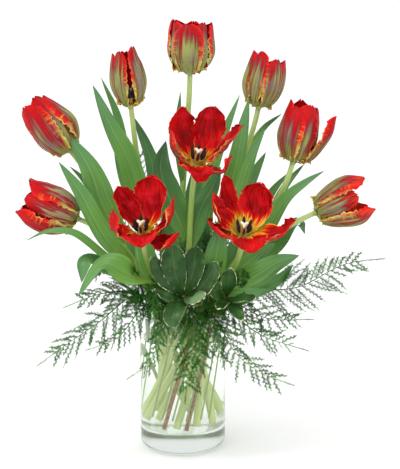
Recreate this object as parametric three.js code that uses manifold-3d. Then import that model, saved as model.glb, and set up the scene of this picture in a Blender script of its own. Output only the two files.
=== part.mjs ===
/**
 * Ten parrot tulips in a clear glass cylinder vase, with plumosa fern and
 * variegated pittosporum as greenery.
 *
 * Millimetres, +Z up. The origin is the middle of the vase's underside and the
 * front of the arrangement faces -Y. All cut stems lean the same way round the
 * vase axis, so they cross in an X when seen from the side and never touch.
 */
import * as THREE from 'three';
import { mergeVertices } from 'three/addons/utils/BufferGeometryUtils.js';
import Module from 'manifold-3d';

const wasm = await Module();
wasm.setup();

// ---------------------------------------------------------------- driving sizes

const VASE = {
  radius: 51,
  height: 164,
  wall: 4,
  floor: 27, // thickness of the heavy base
  heel: 9, // outer rounding at the foot
  innerHeel: 6, // inner rounding at the foot
  segments: 32,
};
const WATER_LEVEL = 133;
const GAP = 0.35; // clearance kept between neighbouring pieces

const TULIP = {
  stemRadius: 4.1, // in the vase
  neckRadius: 3.0, // under the bloom
  cutRadius: 35, // ring of cut ends on the vase floor
  mouthRadius: 33, // ring of stems in the vase mouth
  twist: -118, // degrees that a stem turns round the vase between mouth and cut end
  lead: 55, // length over which a stem keeps its slope above the mouth
  trail: 70, // length over which a stem lines up with its bloom
  sides: 5,
};
const CUT_HEIGHTS = [4, 9, 6, 12, 4, 7, 11, 5, 8, 6]; // of the stems, above the vase's floor

const LEAF_THICKNESS = 1.0;
const TEPAL_THICKNESS = 0.8;
const SPRAY_THICKNESS = 0.8;

const COLOURS = {
  glass: { color: 0xdfe9e6, roughness: 0.02, metalness: 0 },
  water: { color: 0xe6efe2, roughness: 0.02, metalness: 0 },
  stem: { color: 0x6f9440, roughness: 0.55, metalness: 0 },
  tepal: { color: 0xc01414, roughness: 0.5, metalness: 0 },
  heart: { color: 0xd9cf9a, roughness: 0.6, metalness: 0 },
  fern: { color: 0x2f6a3a, roughness: 0.7, metalness: 0 },
  pittosporum: { color: 0x7c9474, roughness: 0.5, metalness: 0 },
};

// ---------------------------------------------------------------- small helpers

const at = (list) => new THREE.Vector3(...list);
const mix = THREE.MathUtils.lerp;
const radians = THREE.MathUtils.degToRad;

/** A point on a circle round the vase axis. */
function onRing(radius, degrees, z) {
  return new THREE.Vector3(radius * Math.cos(radians(degrees)), radius * Math.sin(radians(degrees)), z);
}

/** A repeatable stream of numbers between -1 and 1. */
const STREAM = { factor: 1664525, step: 1013904223, size: 2 ** 32 };
function seeded(seed) {
  let state = seed;
  return () => {
    state = (state * STREAM.factor + STREAM.step) % STREAM.size;
    return (state / STREAM.size) * 2 - 1;
  };
}

/** Rises from 0 to 1 at the peak and falls back to 0. */
function lens(u, peak) {
  const quarter = Math.PI / 2;
  return u < peak ? Math.sin((quarter * u) / peak) : Math.cos((quarter * (u - peak)) / (1 - peak));
}

/** The direction of a line of points at one of them. */
function directionAt(points, i) {
  const before = points[Math.max(i - 1, 0)];
  const after = points[Math.min(i + 1, points.length - 1)];
  return after.clone().sub(before).normalize();
}

// ---------------------------------------------------------------- solids

function solidFrom(positions, indices) {
  return new wasm.Manifold(
    new wasm.Mesh({
      numProp: 3,
      vertProperties: new Float32Array(positions),
      triVerts: new Uint32Array(indices),
    }),
  );
}

function solidOfGeometry(geometry) {
  geometry.deleteAttribute('normal');
  geometry.deleteAttribute('uv');
  const merged = mergeVertices(geometry, 1e-4);
  return solidFrom(merged.attributes.position.array, merged.index.array);
}

// A slanted direction that no stem runs along, to start the section of a tube from.
const SLANT = [0.31, -0.87, 0.39];

/** A closed tube round a line of points, with a radius at each point. */
function tube(points, radii, sides, grow = 0) {
  const positions = [];
  const indices = [];
  const normal = at(SLANT);
  points.forEach((point, i) => {
    const tangent = directionAt(points, i);
    normal.projectOnPlane(tangent).normalize();
    const binormal = tangent.clone().cross(normal);
    const end = i === 0 ? -grow : i === points.length - 1 ? grow : 0;
    for (let s = 0; s < sides; s += 1) {
      const angle = (2 * Math.PI * s) / sides;
      const corner = point
        .clone()
        .addScaledVector(tangent, end)
        .addScaledVector(normal, (radii[i] + grow) * Math.cos(angle))
        .addScaledVector(binormal, (radii[i] + grow) * Math.sin(angle));
      positions.push(corner.x, corner.y, corner.z);
    }
  });
  const last = (points.length - 1) * sides;
  for (let i = 0; i < last; i += sides) {
    for (let s = 0; s < sides; s += 1) {
      const next = (s + 1) % sides;
      indices.push(i + s, i + next, i + sides + next, i + s, i + sides + next, i + sides + s);
    }
  }
  for (let s = 1; s < sides - 1; s += 1) {
    indices.push(0, s + 1, s, last, last + s, last + s + 1);
  }
  return solidFrom(positions, indices);
}

/**
 * A thin plate: points with their normals, and the triangles of its upper face.
 * The lower face is split alike, and a wall follows every open edge.
 */
function plate({ points, normals, faces }, thickness) {
  const lift = (sign) =>
    points.flatMap((point, i) => {
      const height = (sign * thickness) / 2;
      return point.clone().addScaledVector(normals[i], height).toArray();
    });
  const under = points.length;
  const indices = faces.flatMap(([a, b, c]) => [a, b, c, under + a, under + c, under + b]);
  const edges = faces.flatMap(([a, b, c]) => [[a, b], [b, c], [c, a]]);
  const known = new Set(edges.map(([a, b]) => `${a} ${b}`));
  edges
    .filter(([a, b]) => !known.has(`${b} ${a}`))
    .forEach(([a, b]) => indices.push(a, under + a, under + b, a, under + b, b));
  return solidFrom([...lift(1), ...lift(-1)], indices);
}

const RUFFLE_PEAK = 0.7; // where along a blade its edge waves most

/**
 * A thin curved blade along a line, for petals and leaves.
 *
 * line: points from the root to the tip; halfWidth(u): half the width along it;
 * facing(point): the way the inner face looks; wrap: half the angle that the
 * section bends through; ruffle, waves, phase: edge waves; crown: how far the
 * middle of the tip stands past its corners.
 */
function blade(shape, grow = 0) {
  const { line, halfWidth, facing, rows, cols, thickness } = shape;
  const { wrap = 0.3, ruffle = 0, waves = 1, phase = 0, crown = 0 } = shape;
  const curve = new THREE.CatmullRomCurve3(line, false, 'centripetal');
  const points = [];
  for (let i = 0; i <= rows; i += 1) {
    const u = i / rows;
    const point = curve.getPointAt(u);
    const along = curve.getTangentAt(u);
    const normal = facing(point).projectOnPlane(along).normalize();
    const across = along.clone().cross(normal);
    const radius = (halfWidth(u) + grow) / wrap;
    const end = i === 0 ? -grow : i === rows ? grow : 0;
    for (let j = 0; j <= cols; j += 1) {
      const v = (2 * j) / cols - 1;
      const swing = Math.sin(2 * Math.PI * waves * u + phase + 2 * v);
      const wave = ruffle * Math.abs(v) ** 3 * lens(u, RUFFLE_PEAK) * swing;
      points.push(
        point
          .clone()
          .addScaledVector(across, radius * Math.sin(v * wrap))
          .addScaledVector(normal, radius * (1 - Math.cos(v * wrap)) + wave)
          .addScaledVector(along, end + crown * (1 - v * v) * u ** 4),
      );
    }
  }
  const { clamp } = THREE.MathUtils;
  const index = (i, j) => clamp(i, 0, rows) * (cols + 1) + clamp(j, 0, cols);
  const normals = points.map((_, k) => {
    const [i, j] = [Math.floor(k / (cols + 1)), k % (cols + 1)];
    const across = points[index(i, j + 1)].clone().sub(points[index(i, j - 1)]);
    const along = points[index(i + 1, j)].clone().sub(points[index(i - 1, j)]);
    return across.cross(along).normalize();
  });
  const faces = [];
  for (let i = 0; i < rows; i += 1) {
    for (let j = 0; j < cols; j += 1) {
      const [a, b, c, d] = [index(i, j), index(i, j + 1), index(i + 1, j + 1), index(i + 1, j)];
      faces.push([a, b, c], [a, c, d]);
    }
  }
  return plate({ points, normals, faces }, thickness + 2 * grow);
}

/**
 * Adds one side branch of a fern frond to a plate: an arched strip whose outline
 * is cut to its rib into branchlets. It grows from the edge between two points
 * that the plate already has, the left one first as seen along the branch.
 */
function addBranch(sheet, edge, branch, grow = 0) {
  const { direction, normal, length, reach } = branch;
  const side = direction.clone().cross(normal).normalize();
  let [left, right] = edge;
  const root = sheet.points[left].clone().lerp(sheet.points[right], 0.5);
  const rib = (s) =>
    root
      .clone()
      .addScaledVector(direction, length * s)
      .addScaledVector(normal, -FERN.arch * length * s * s);
  const push = (s, out) => {
    sheet.normals.push(normal);
    return sheet.points.push(rib(s).addScaledVector(side, out)) - 1;
  };
  for (let k = 1; k <= FERN.barbs; k += 1) {
    const s = k / (FERN.barbs + FERN.bareTip);
    const out = reach * (FERN.rootReach - s) + grow;
    const nextLeft = push(s, -FERN.ribHalf - grow);
    const nextRight = push(s, FERN.ribHalf + grow);
    sheet.faces.push([left, right, nextRight], [left, nextRight, nextLeft]);
    sheet.faces.push([right, push(s + FERN.sweep, out), nextRight]);
    sheet.faces.push([left, nextLeft, push(s + FERN.sweep, -out)]);
    [left, right] = [nextLeft, nextRight];
  }
  sheet.faces.push([left, right, push(1 + grow / length, 0)]);
}

// ---------------------------------------------------------------- keeping clear

const taken = []; // what later pieces keep clear of: { owner, box, solid }

function claim(owner, solid) {
  taken.push({ owner, box: solid.boundingBox(), solid });
}

function boxesMeet(a, b) {
  return [0, 1, 2].every((axis) => a.min[axis] <= b.max[axis] && b.min[axis] <= a.max[axis]);
}

const neighboursOf = (solid, owner) => {
  const box = solid.boundingBox();
  return taken.filter((other) => other.owner !== owner && boxesMeet(box, other.box));
};

/** True where a solid is clear of everything that is not its owner's. */
function isClear(solid, owner) {
  return neighboursOf(solid, owner).every((other) => solid.intersect(other.solid).isEmpty());
}

/** The part of a solid that is clear of its neighbours and still holds its root. */
function carve(solid, owner, root) {
  let left = solid;
  neighboursOf(solid, owner).forEach((other) => {
    left = left.subtract(other.solid);
  });
  const pieces = left.decompose();
  if (pieces.length < 2) {
    return left;
  }
  const distance = (piece) => {
    const { vertProperties, numProp } = piece.getMesh();
    let nearest = Infinity;
    for (let i = 0; i < vertProperties.length; i += numProp) {
      const corner = at(vertProperties.subarray(i, i + 3));
      nearest = Math.min(nearest, root.distanceTo(corner));
    }
    return nearest;
  };
  return pieces.reduce((best, piece) => (distance(piece) < distance(best) ? piece : best));
}

const joined = (solids) => solids.reduce((sum, solid) => sum.add(solid));

// ---------------------------------------------------------------- vase and water

function vaseSolid() {
  const { radius, height, wall, floor, heel, innerHeel, segments } = VASE;
  const inner = radius - wall;
  const profile = [new THREE.Vector2(0, 0)];
  for (let k = 0; k <= 3; k += 1) {
    const angle = (k / 3) * (Math.PI / 2);
    profile.push(new THREE.Vector2(radius - heel + heel * Math.sin(angle), heel - heel * Math.cos(angle)));
  }
  const lip = wall / 2;
  for (let k = 0; k <= 3; k += 1) {
    const angle = (k / 3) * Math.PI;
    const [out, up] = [Math.cos(angle), Math.sin(angle)];
    profile.push(new THREE.Vector2(radius - lip + lip * out, height - lip + lip * up));
  }
  for (let k = 0; k <= 2; k += 1) {
    const angle = (k / 2) * (Math.PI / 2);
    const [out, down] = [Math.cos(angle), Math.sin(angle)];
    profile.push(new THREE.Vector2(inner - innerHeel * (1 - out), floor + innerHeel * (1 - down)));
  }
  profile.push(new THREE.Vector2(0, floor));
  return upright(new THREE.LatheGeometry(profile, segments));
}

/** Lathes turn round Y: this stands one up along Z. */
function upright(geometry) {
  geometry.rotateX(Math.PI / 2);
  return solidOfGeometry(geometry);
}

function waterSolid() {
  const { radius, wall, floor, innerHeel, segments } = VASE;
  const edge = radius - wall - GAP;
  const foot = floor + GAP;
  const corner = innerHeel * (1 - Math.SQRT1_2);
  const profile = [
    new THREE.Vector2(0, foot),
    new THREE.Vector2(edge - innerHeel, foot),
    new THREE.Vector2(edge - corner, foot + corner),
    new THREE.Vector2(edge, foot + innerHeel),
    new THREE.Vector2(edge, WATER_LEVEL),
    new THREE.Vector2(0, WATER_LEVEL),
  ];
  return upright(new THREE.LatheGeometry(profile, segments));
}

// ---------------------------------------------------------------- tulips

/**
 * Each tulip: mouth is its place in the vase mouth in degrees, base the foot of
 * its bloom, aim the way the bloom points, reach and girth the length and
 * greatest radius of a closed bloom. An even cup has tip, the radius of its
 * petal tips as a share of girth, and turn, in degrees round its axis. An uneven
 * one lists its cup, outer and inner petals in turn, each with its angle, its
 * width as a share of an outer petal's, and the radius and height, as shares of
 * girth and reach, of its belly, its neck and its tip. An open bloom lists its
 * petals instead, each as points from the foot of the bloom. Leaves leave the stem at a height and run through
 * their points to the tip.
 */
const FRONT = [0, -1, 0.25];
const TULIPS = [
  {
    mouth: 90, base: [9, 40, 438], aim: [0.02, -0.05, 1],
    reach: 60, girth: 28, tip: 0.96, turn: 20,
    leaves: [
      { from: 300, through: [[-5, 28, 374], [-2, 25, 418]], width: 10, face: FRONT },
      {
        from: 232, width: 22, face: [0.4, -1, 0.2],
        through: [[-26, 40, 290], [-40, 42, 345], [-58, 46, 388]],
      },
      {
        from: 215, width: 24, face: [0, -1, 0.6],
        through: [[10, 74, 270], [20, 92, 320], [30, 104, 352]],
      },
    ],
  },
  {
    mouth: 126, base: [-60, 35, 400], aim: [-0.1, 0, 1],
    reach: 67, girth: 21,
    cup: [
      { angle: 241, wide: 0.72, run: [[1, 0.38], [0.87, 0.72], [0.66, 0.95]] },
      { angle: 188, wide: 0.8, run: [[0.9, 0.38], [0.84, 0.72], [0.72, 0.93]] },
      { angle: 125, wide: 0.95, run: [[0.95, 0.38], [0.8, 0.72], [0.55, 0.96]] },
      { angle: 75, wide: 0.95, run: [[0.8, 0.38], [0.7, 0.72], [0.5, 0.95]] },
      { angle: 319, wide: 0.72, run: [[1, 0.38], [0.87, 0.72], [0.66, 1.02]] },
      { angle: 10, wide: 0.8, run: [[0.9, 0.38], [0.82, 0.72], [0.64, 0.9]] },
    ],
    leaves: [
      {
        from: 235, width: 27, face: [0.3, -1, 0.2],
        through: [[-63, 16, 340], [-83, 10, 382], [-101, 5, 427]],
      },
      { from: 290, through: [[-68, 50, 345], [-78, 52, 390], [-96, 54, 433]], width: 12, face: FRONT },
      {
        from: 215, width: 22, face: [0.2, -1, 0.6],
        through: [[-52, 72, 265], [-74, 90, 310], [-86, 100, 345]],
      },
    ],
  },
  {
    mouth: 54, base: [89, 35, 399], aim: [0.2, 0, 1],
    reach: 63, girth: 23,
    cup: [
      { angle: 301, wide: 0.8, run: [[1.05, 0.38], [1, 0.7], [0.8, 0.93]] },
      { angle: 2, wide: 0.9, run: [[0.95, 0.38], [0.95, 0.72], [0.85, 0.93]] },
      { angle: 55, wide: 0.9, run: [[0.95, 0.38], [0.9, 0.72], [0.75, 0.9]] },
      { angle: 140, wide: 0.85, run: [[0.9, 0.38], [0.9, 0.72], [0.8, 0.96]] },
      { angle: 190, wide: 0.8, run: [[1, 0.38], [0.97, 0.72], [0.85, 1]] },
      { angle: 235, wide: 0.74, run: [[0.95, 0.38], [0.92, 0.72], [0.78, 1.02]] },
    ],
    leaves: [
      { from: 255, through: [[62, 15, 335], [70, 15, 375], [77, 20, 411]], width: 22, face: FRONT },
      { from: 225, through: [[30, 16, 305], [46, 12, 364], [66, 15, 415]], width: 16, face: FRONT },
      { from: 335, through: [[96, 47, 374], [117, 48, 391]], width: 8, face: FRONT },
      {
        from: 215, width: 24, face: [0, -1, 0.6],
        through: [[62, 68, 270], [86, 84, 312], [102, 92, 340]],
      },
    ],
  },
  {
    mouth: 162, base: [-127, 0, 352], aim: [-0.62, -0.08, 0.78],
    reach: 72, girth: 27, tip: 0.7, turn: 10,
    leaves: [
      {
        from: 240, width: 33, face: [0.4, -1, 0.3],
        through: [[-91, -10, 292], [-104, -15, 333], [-128, -12, 372]],
      },
      {
        from: 225, width: 16, face: [0.3, -0.6, 0.8],
        through: [[-96, 26, 285], [-120, 30, 318], [-133, 34, 330]],
      },
    ],
  },
  {
    mouth: 18, base: [128, 10, 338], aim: [0.22, 0, 0.97],
    reach: 71, girth: 26,
    cup: [
      { angle: 232, wide: 0.95, run: [[1, 0.38], [0.95, 0.7], [0.75, 0.9]] },
      { angle: 282, wide: 0.9, run: [[0.85, 0.38], [0.85, 0.72], [0.6, 0.97]] },
      { angle: 338, wide: 0.62, run: [[1.15, 0.36], [1.4, 0.6], [1.42, 0.88]] },
      { angle: 30, wide: 0.9, run: [[0.85, 0.38], [0.75, 0.72], [0.6, 0.93]] },
      { angle: 110, wide: 1, run: [[1, 0.38], [0.85, 0.72], [0.65, 1]] },
      { angle: 180, wide: 0.9, run: [[0.9, 0.38], [0.85, 0.72], [0.75, 0.97]] },
    ],
    leaves: [
      { from: 235, through: [[67, -2, 300], [80, -2, 348], [95, 0, 378]], width: 18, face: FRONT },
      {
        from: 225, width: 14, face: [-0.2, -1, 0.3],
        through: [[92, 34, 270], [106, 38, 298], [126, 40, 322]],
      },
    ],
  },
  {
    mouth: 198, base: [-118, -15, 276], aim: [-0.9, -0.07, 0.4],
    reach: 72, girth: 27,
    cup: [
      { angle: 222, wide: 0.95, run: [[1.1, 0.38], [1.1, 0.7], [0.8, 0.95]] },
      { angle: 285, wide: 0.75, run: [[0.9, 0.38], [0.8, 0.7], [0.55, 0.9]] },
      { angle: 345, wide: 0.9, run: [[1, 0.38], [0.95, 0.7], [0.85, 0.92]] },
      { angle: 40, wide: 0.9, run: [[0.85, 0.38], [0.8, 0.72], [0.85, 0.95]] },
      { angle: 110, wide: 0.9, run: [[0.9, 0.38], [0.75, 0.72], [0.5, 0.9]] },
      { angle: 170, wide: 0.9, run: [[0.9, 0.38], [0.8, 0.72], [0.6, 0.9]] },
    ],
    leaves: [
      {
        from: 218, width: 24, face: [0.5, -1, 0.4],
        through: [[-84, -34, 255], [-115, -30, 310], [-138, -25, 343]],
      },
      {
        from: 205, width: 12, face: [0, -0.7, 1],
        through: [[-84, -42, 236], [-121, -46, 266], [-149, -46, 268], [-173, -45, 258]],
      },
      {
        from: 196, width: 30, face: [-0.2, -0.4, 1],
        through: [[-80, -38, 218], [-106, -46, 234], [-112, -58, 212]],
      },
    ],
  },
  {
    mouth: -18, base: [152, -15, 283], aim: [0.9, -0.07, 0.42],
    reach: 67, girth: 24,
    cup: [
      { angle: 322, wide: 1.05, run: [[1.15, 0.38], [1.35, 0.7], [1.05, 0.95]] },
      { angle: 258, wide: 0.8, run: [[1, 0.36], [0.85, 0.6], [0.6, 0.78]] },
      { angle: 196, wide: 0.9, run: [[1.05, 0.38], [1.15, 0.72], [0.75, 1]] },
      { angle: 150, wide: 0.8, run: [[0.9, 0.38], [1, 0.72], [0.75, 0.92]] },
      { angle: 90, wide: 0.8, run: [[0.85, 0.38], [0.7, 0.6], [0.4, 0.75]] },
      { angle: 20, wide: 0.8, run: [[0.95, 0.38], [1.12, 0.68], [1.05, 0.86]] },
    ],
    leaves: [
      {
        from: 212, width: 18, face: [-0.4, -1, 0.4],
        through: [[94, 0, 252], [119, -3, 297], [141, -8, 317], [162, -10, 331]],
      },
      {
        from: 205, width: 24, face: [-0.4, -0.7, 0.8],
        through: [[110, 12, 238], [136, 16, 268], [146, 30, 250]],
      },
    ],
  },
  {
    mouth: -90, base: [16, -42, 341], aim: [0.15, -0.45, 0.88], open: true,
    petals: [
      { through: [[-11, 2, 20], [-18, 8, 41], [-13, 12, 62]], width: 38 },
      { through: [[11, 4, 20], [17, 10, 41], [21, 12, 63]], width: 36 },
      { through: [[-15, -14, 6], [-26, -26, 23], [-28, -24, 42]], width: 36 },
      { through: [[18, -8, 10], [33, -16, 25], [50, -18, 45]], width: 32 },
      { through: [[13, -18, -2], [30, -34, -2], [38, -36, 15]], width: 18 },
      { through: [[-1, -24, 1], [-2, -42, -2], [1, -52, -9]], width: 38 },
    ],
    leaves: [
      {
        from: 250, width: 36, face: [0.7, -1, 0.2],
        through: [[-15, -24, 305], [-24, -20, 338], [-18, -16, 366]],
      },
      {
        from: 240, width: 26, face: [-0.3, -1, 0.3],
        through: [[21, -26, 288], [36, -18, 316], [44, -10, 336]],
      },
      { from: 222, through: [[-16, -8, 281], [-28, 0, 320], [-26, 2, 345]], width: 13, face: FRONT },
    ],
  },
  {
    mouth: -126, base: [-42, -82, 270], aim: [-0.05, -0.57, 0.82], open: true,
    petals: [
      { through: [[7, 2, 19], [10, 8, 40], [12, 10, 63]], width: 38 },
      { through: [[-8, 0, 18], [-18, 2, 36], [-25, -2, 53]], width: 26 },
      { through: [[17, -16, 9], [32, -28, 25], [36, -26, 46]], width: 25 },
      { through: [[-16, -16, 7], [-31, -32, 15], [-28, -36, 33]], width: 30 },
      { through: [[-1, -24, 5], [-2, -42, 5], [0, -54, 0]], width: 38 },
      { through: [[16, -16, -1], [31, -32, -3], [40, -40, 10]], width: 26 },
    ],
    leaves: [
      {
        from: 206, width: 34, face: [-0.2, -0.5, 1],
        through: [[-54, -76, 222], [-82, -76, 238], [-114, -72, 201]],
      },
    ],
  },
  {
    mouth: -54, base: [67, -82, 268], aim: [0.05, -0.57, 0.82], open: true,
    petals: [
      { through: [[-8, 4, 19], [-15, 10, 40], [-20, 10, 65]], width: 20 },
      { through: [[-14, -10, 15], [-29, -16, 32], [-32, -10, 49]], width: 34 },
      { through: [[10, 2, 17], [16, 8, 37], [20, 8, 57]], width: 40 },
      { through: [[16, -10, 4], [38, -24, 8], [53, -28, 23]], width: 30 },
      { through: [[3, -22, 3], [6, -40, 3], [7, -52, -4]], width: 38 },
      { through: [[-15, -16, 5], [-30, -32, 13], [-38, -38, 26]], width: 32 },
    ],
    leaves: [
      {
        from: 196, width: 30, face: [0.1, -1, 0.5],
        through: [[82, -60, 220], [106, -64, 236], [131, -58, 243]],
      },
      {
        from: 184, width: 20, face: [0, -0.9, 0.5],
        through: [[84, -46, 200], [111, -46, 214], [126, -44, 229]],
      },
      { from: 208, through: [[80, -48, 238], [105, -44, 254]], width: 24, face: [0, -0.8, 0.7] },
      { from: 176, through: [[68, -68, 198], [98, -76, 209]], width: 24, face: [0, -1, 0.5] },
    ],
  },
];

/** The line of a tulip's stem: straight in the vase, then out to its bloom. */
function tulipLine(tulip, cutHeight) {
  const cut = onRing(TULIP.cutRadius, tulip.mouth + TULIP.twist, cutHeight);
  const mouth = onRing(TULIP.mouthRadius, tulip.mouth, VASE.height);
  const slope = mouth.clone().sub(cut).normalize();
  const base = at(tulip.base);
  const aim = at(tulip.aim).normalize();
  const upper = new THREE.CubicBezierCurve3(
    mouth,
    mouth.clone().addScaledVector(slope, TULIP.lead),
    base.clone().addScaledVector(aim, -TULIP.trail),
    base.clone().addScaledVector(aim, -GAP),
  );
  return [cut, ...upper.getPoints(7)];
}

/** The point of a line at a height. */
function atHeight(line, z) {
  const after = line.findIndex((point) => point.z > z);
  const [low, high] = [line[after - 1], line[after]];
  return low.clone().lerp(high, (z - low.z) / (high.z - low.z));
}

function leafShape(line, leaf) {
  const shape = [atHeight(line, leaf.from), ...leaf.through.map(at)];
  const half = leaf.width / 2;
  return {
    line: shape,
    halfWidth: (u) => Math.max(half * lens(u, 0.42) ** 0.8, 2.6 * (1 - u), 0.8),
    facing: () => at(leaf.face),
    rows: leaf.width > 20 ? 5 : 4,
    cols: 2,
    thickness: LEAF_THICKNESS,
    wrap: 0.45,
    ruffle: 0.05 * leaf.width,
    waves: 1.5,
    phase: leaf.width,
  };
}

// Where petals start on the receptacle: distance from its axis, height, half width.
const PETAL_FOOT = { outer: [2.8, 1.0], inner: [2.2, 2.9], half: 1.3 };

const CLOSED_BLOOM = {
  inner: 0.8, // girth of the inner three petals as a share of the outer three
  turnSpread: 5, // degrees either way
  lengthSpread: 0.04, // share either way
  tipSpread: 0.12, // share either way
  shoulder: [0.62, 0.1], // radius and height, as shares of girth and length
  belly: [1, 0.38],
  neck: [0.45, 0.72], // how far the radius has gone from girth to tip, and height
  end: 0.97, // height of the tip
  half: 0.88, // half width as a share of girth
  tipHalf: 0.28,
};

const OPEN_BLOOM = {
  focus: 48, // height of the point that the inner faces look at
  tipHalf: 0.34, // half width of a tip as a share of the petal's half width
};

/** The six petals of a closed or half-open bloom: three outer and three inner. */
function closedPetals(tulip) {
  const shape = CLOSED_BLOOM;
  const draw = seeded(tulip.base[0] + 500);
  const axis = at(tulip.aim).normalize();
  const side = new THREE.Vector3(1, 0, 0).projectOnPlane(axis).normalize();
  const depth = axis.clone().cross(side);
  const even = (k) => {
    const share = k % 2 === 0 ? 1 : shape.inner;
    const angle = tulip.turn + 60 * k + shape.turnSpread * draw();
    const length = 1 + shape.lengthSpread * draw();
    const tip = tulip.tip * (1 + shape.tipSpread * draw());
    const run = [shape.belly, [mix(1, tip, shape.neck[0]), shape.neck[1]], [tip, shape.end]];
    return { angle, wide: share, run: run.map(([r, h]) => [r * share, h * length]) };
  };
  return [0, 1, 2, 3, 4, 5].map((k) => {
    const outer = k % 2 === 0;
    const { angle, wide, run } = tulip.cup ? tulip.cup[k] : even(k);
    const turn = radians(angle);
    const out = side.clone().multiplyScalar(Math.cos(turn)).addScaledVector(depth, Math.sin(turn));
    const place = (r, h) => at(tulip.base).addScaledVector(out, r).addScaledVector(axis, h);
    const shoulder = [shape.shoulder[0] * run[0][0], shape.shoulder[1]];
    return {
      line: [
        place(...(outer ? PETAL_FOOT.outer : PETAL_FOOT.inner)),
        ...[shoulder, ...run].map(([r, h]) => place(r * tulip.girth, h * tulip.reach)),
      ],
      halfWidth: (u) => {
        const least = u < 0.5 ? PETAL_FOOT.half : shape.tipHalf * wide * tulip.girth;
        return Math.max(shape.half * wide * tulip.girth * lens(u, 0.6) ** 0.7, least);
      },
      facing: () => out.clone().negate(),
      rows: 3,
      cols: 2,
      thickness: TEPAL_THICKNESS,
      wrap: 0.85,
      ruffle: 1.1,
      waves: 1.5,
      phase: 2 * k,
      crown: 2,
    };
  });
}

/** The petals of an open bloom, whose inner faces look at a point above its foot. */
function openPetals(tulip) {
  const base = at(tulip.base);
  const axis = at(tulip.aim).normalize();
  const focus = base.clone().addScaledVector(axis, OPEN_BLOOM.focus);
  return tulip.petals.map((petal, k) => {
    const [r, h] = k % 2 === 0 ? PETAL_FOOT.inner : PETAL_FOOT.outer;
    const first = at(petal.through[0]).projectOnPlane(axis).setLength(r).addScaledVector(axis, h);
    const half = petal.width / 2;
    return {
      line: [first, ...petal.through.map(at)].map((point) => point.add(base)),
      halfWidth: (u) => {
        const least = u < 0.5 ? PETAL_FOOT.half : OPEN_BLOOM.tipHalf * half;
        return Math.max(half * lens(u, 0.62) ** 0.75, least);
      },
      facing: (point) => focus.clone().sub(point),
      rows: 3,
      cols: 3,
      thickness: TEPAL_THICKNESS,
      wrap: 0.6,
      ruffle: 2.4,
      waves: 1.8,
      phase: 1.7 * k,
      crown: 3,
    };
  });
}

const RECEPTACLE = { heights: [0, 2, 4.2], radii: [3.4, 4.6, 3.2], sides: 6 };
const HEART = {
  pistilHeights: [0, 13, 17, 19.5], // the stigma is the wide part at the top
  pistilRadii: [3.2, 2.6, 4.2, 2.2],
  filamentFoot: [1.6, 0.6], // distance from the axis, height
  antherHeights: [11, 20],
  spread: { open: 9, closed: 6.5 }, // of the anther tips from the axis
};

/** The small dome that the petals grow from. */
function receptacle(tulip, grow = 0) {
  const axis = at(tulip.aim).normalize();
  const line = RECEPTACLE.heights.map((h) => at(tulip.base).addScaledVector(axis, h));
  return tube(line, RECEPTACLE.radii, RECEPTACLE.sides, grow);
}

/** The pistil and six stamens, which stand on the receptacle. */
function heart(tulip, grow = 0) {
  const axis = at(tulip.aim).normalize();
  const side = new THREE.Vector3(0, -1, 0).projectOnPlane(axis).normalize();
  const depth = axis.clone().cross(side);
  const place = (r, h, angle) =>
    at(tulip.base)
      .addScaledVector(axis, h)
      .addScaledVector(side, r * Math.cos(angle))
      .addScaledVector(depth, r * Math.sin(angle));
  const foot = RECEPTACLE.heights.at(-1) + GAP;
  const spread = tulip.open ? HEART.spread.open : HEART.spread.closed;
  const line = HEART.pistilHeights.map((h) => place(0, foot + h, 0));
  const pistil = tube(line, HEART.pistilRadii, tulip.open ? 6 : 4, grow);
  const [footRadius, footHeight] = HEART.filamentFoot;
  const [low, high] = HEART.antherHeights;
  const stamens = [0, 1, 2, 3, 4, 5].map((k) => {
    const angle = (Math.PI / 3) * (k + 0.5);
    const first = place(footRadius, foot + footHeight, angle);
    const last = place(spread, foot + high, angle);
    return tulip.open
      ? tube([first, place(0.75 * spread, foot + low, angle), last], [0.7, 1.5, 0.7], 3, grow)
      : tube([first, last], [0.8, 1.2], 3, grow);
  });
  return joined([pistil, ...stamens]);
}

// ---------------------------------------------------------------- greenery

/**
 * Pittosporum sprigs: mouth and twist place the woody stem in the vase, crown is
 * the tip of the stem, and each leaf runs from it through its points.
 */
const SPRIGS = [
  {
    mouth: -70, crown: [2, -84, 203],
    leaves: [
      { through: [[-6, -91, 230], [-10, -84, 260]], width: 28, face: FRONT },
      { through: [[12, -92, 228], [17, -83, 258]], width: 26, face: [-0.3, -1, 0.4] },
      { through: [[-16, -92, 222], [-32, -88, 247]], width: 19, face: [0.3, -1, 0.4] },
      { through: [[22, -97, 216], [39, -90, 242]], width: 24, face: [-0.2, -1, 0.6] },
      { through: [[13, -104, 207], [26, -112, 213]], width: 16, face: [0, -0.8, 0.8] },
      { through: [[-4, -104, 198], [-8, -114, 184]], width: 16, face: [0, -0.7, 0.8] },
    ],
  },
  {
    mouth: -36, crown: [50, -66, 196],
    leaves: [
      { through: [[52, -80, 216], [54, -92, 236]], width: 17, face: [0, -1, 0.6] },
      { through: [[64, -84, 200], [80, -98, 204]], width: 17, face: [0, -0.6, 1] },
      { through: [[46, -86, 196], [40, -104, 194]], width: 15, face: [0, -0.6, 1] },
      { through: [[38, -78, 206], [30, -76, 224]], width: 16, face: [0.2, -1, 0.5] },
    ],
  },
];
const WOODY = {
  radius: 2.4,
  taper: 0.2, // lost from the radius at each point of the line
  cutRadius: 43,
  mouthRadius: 43,
  cutHeight: 4, // above the vase's floor
  turn: -48, // degrees between mouth and cut end
  bend: 16, // height above the mouth where the stem turns outwards
};

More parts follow.
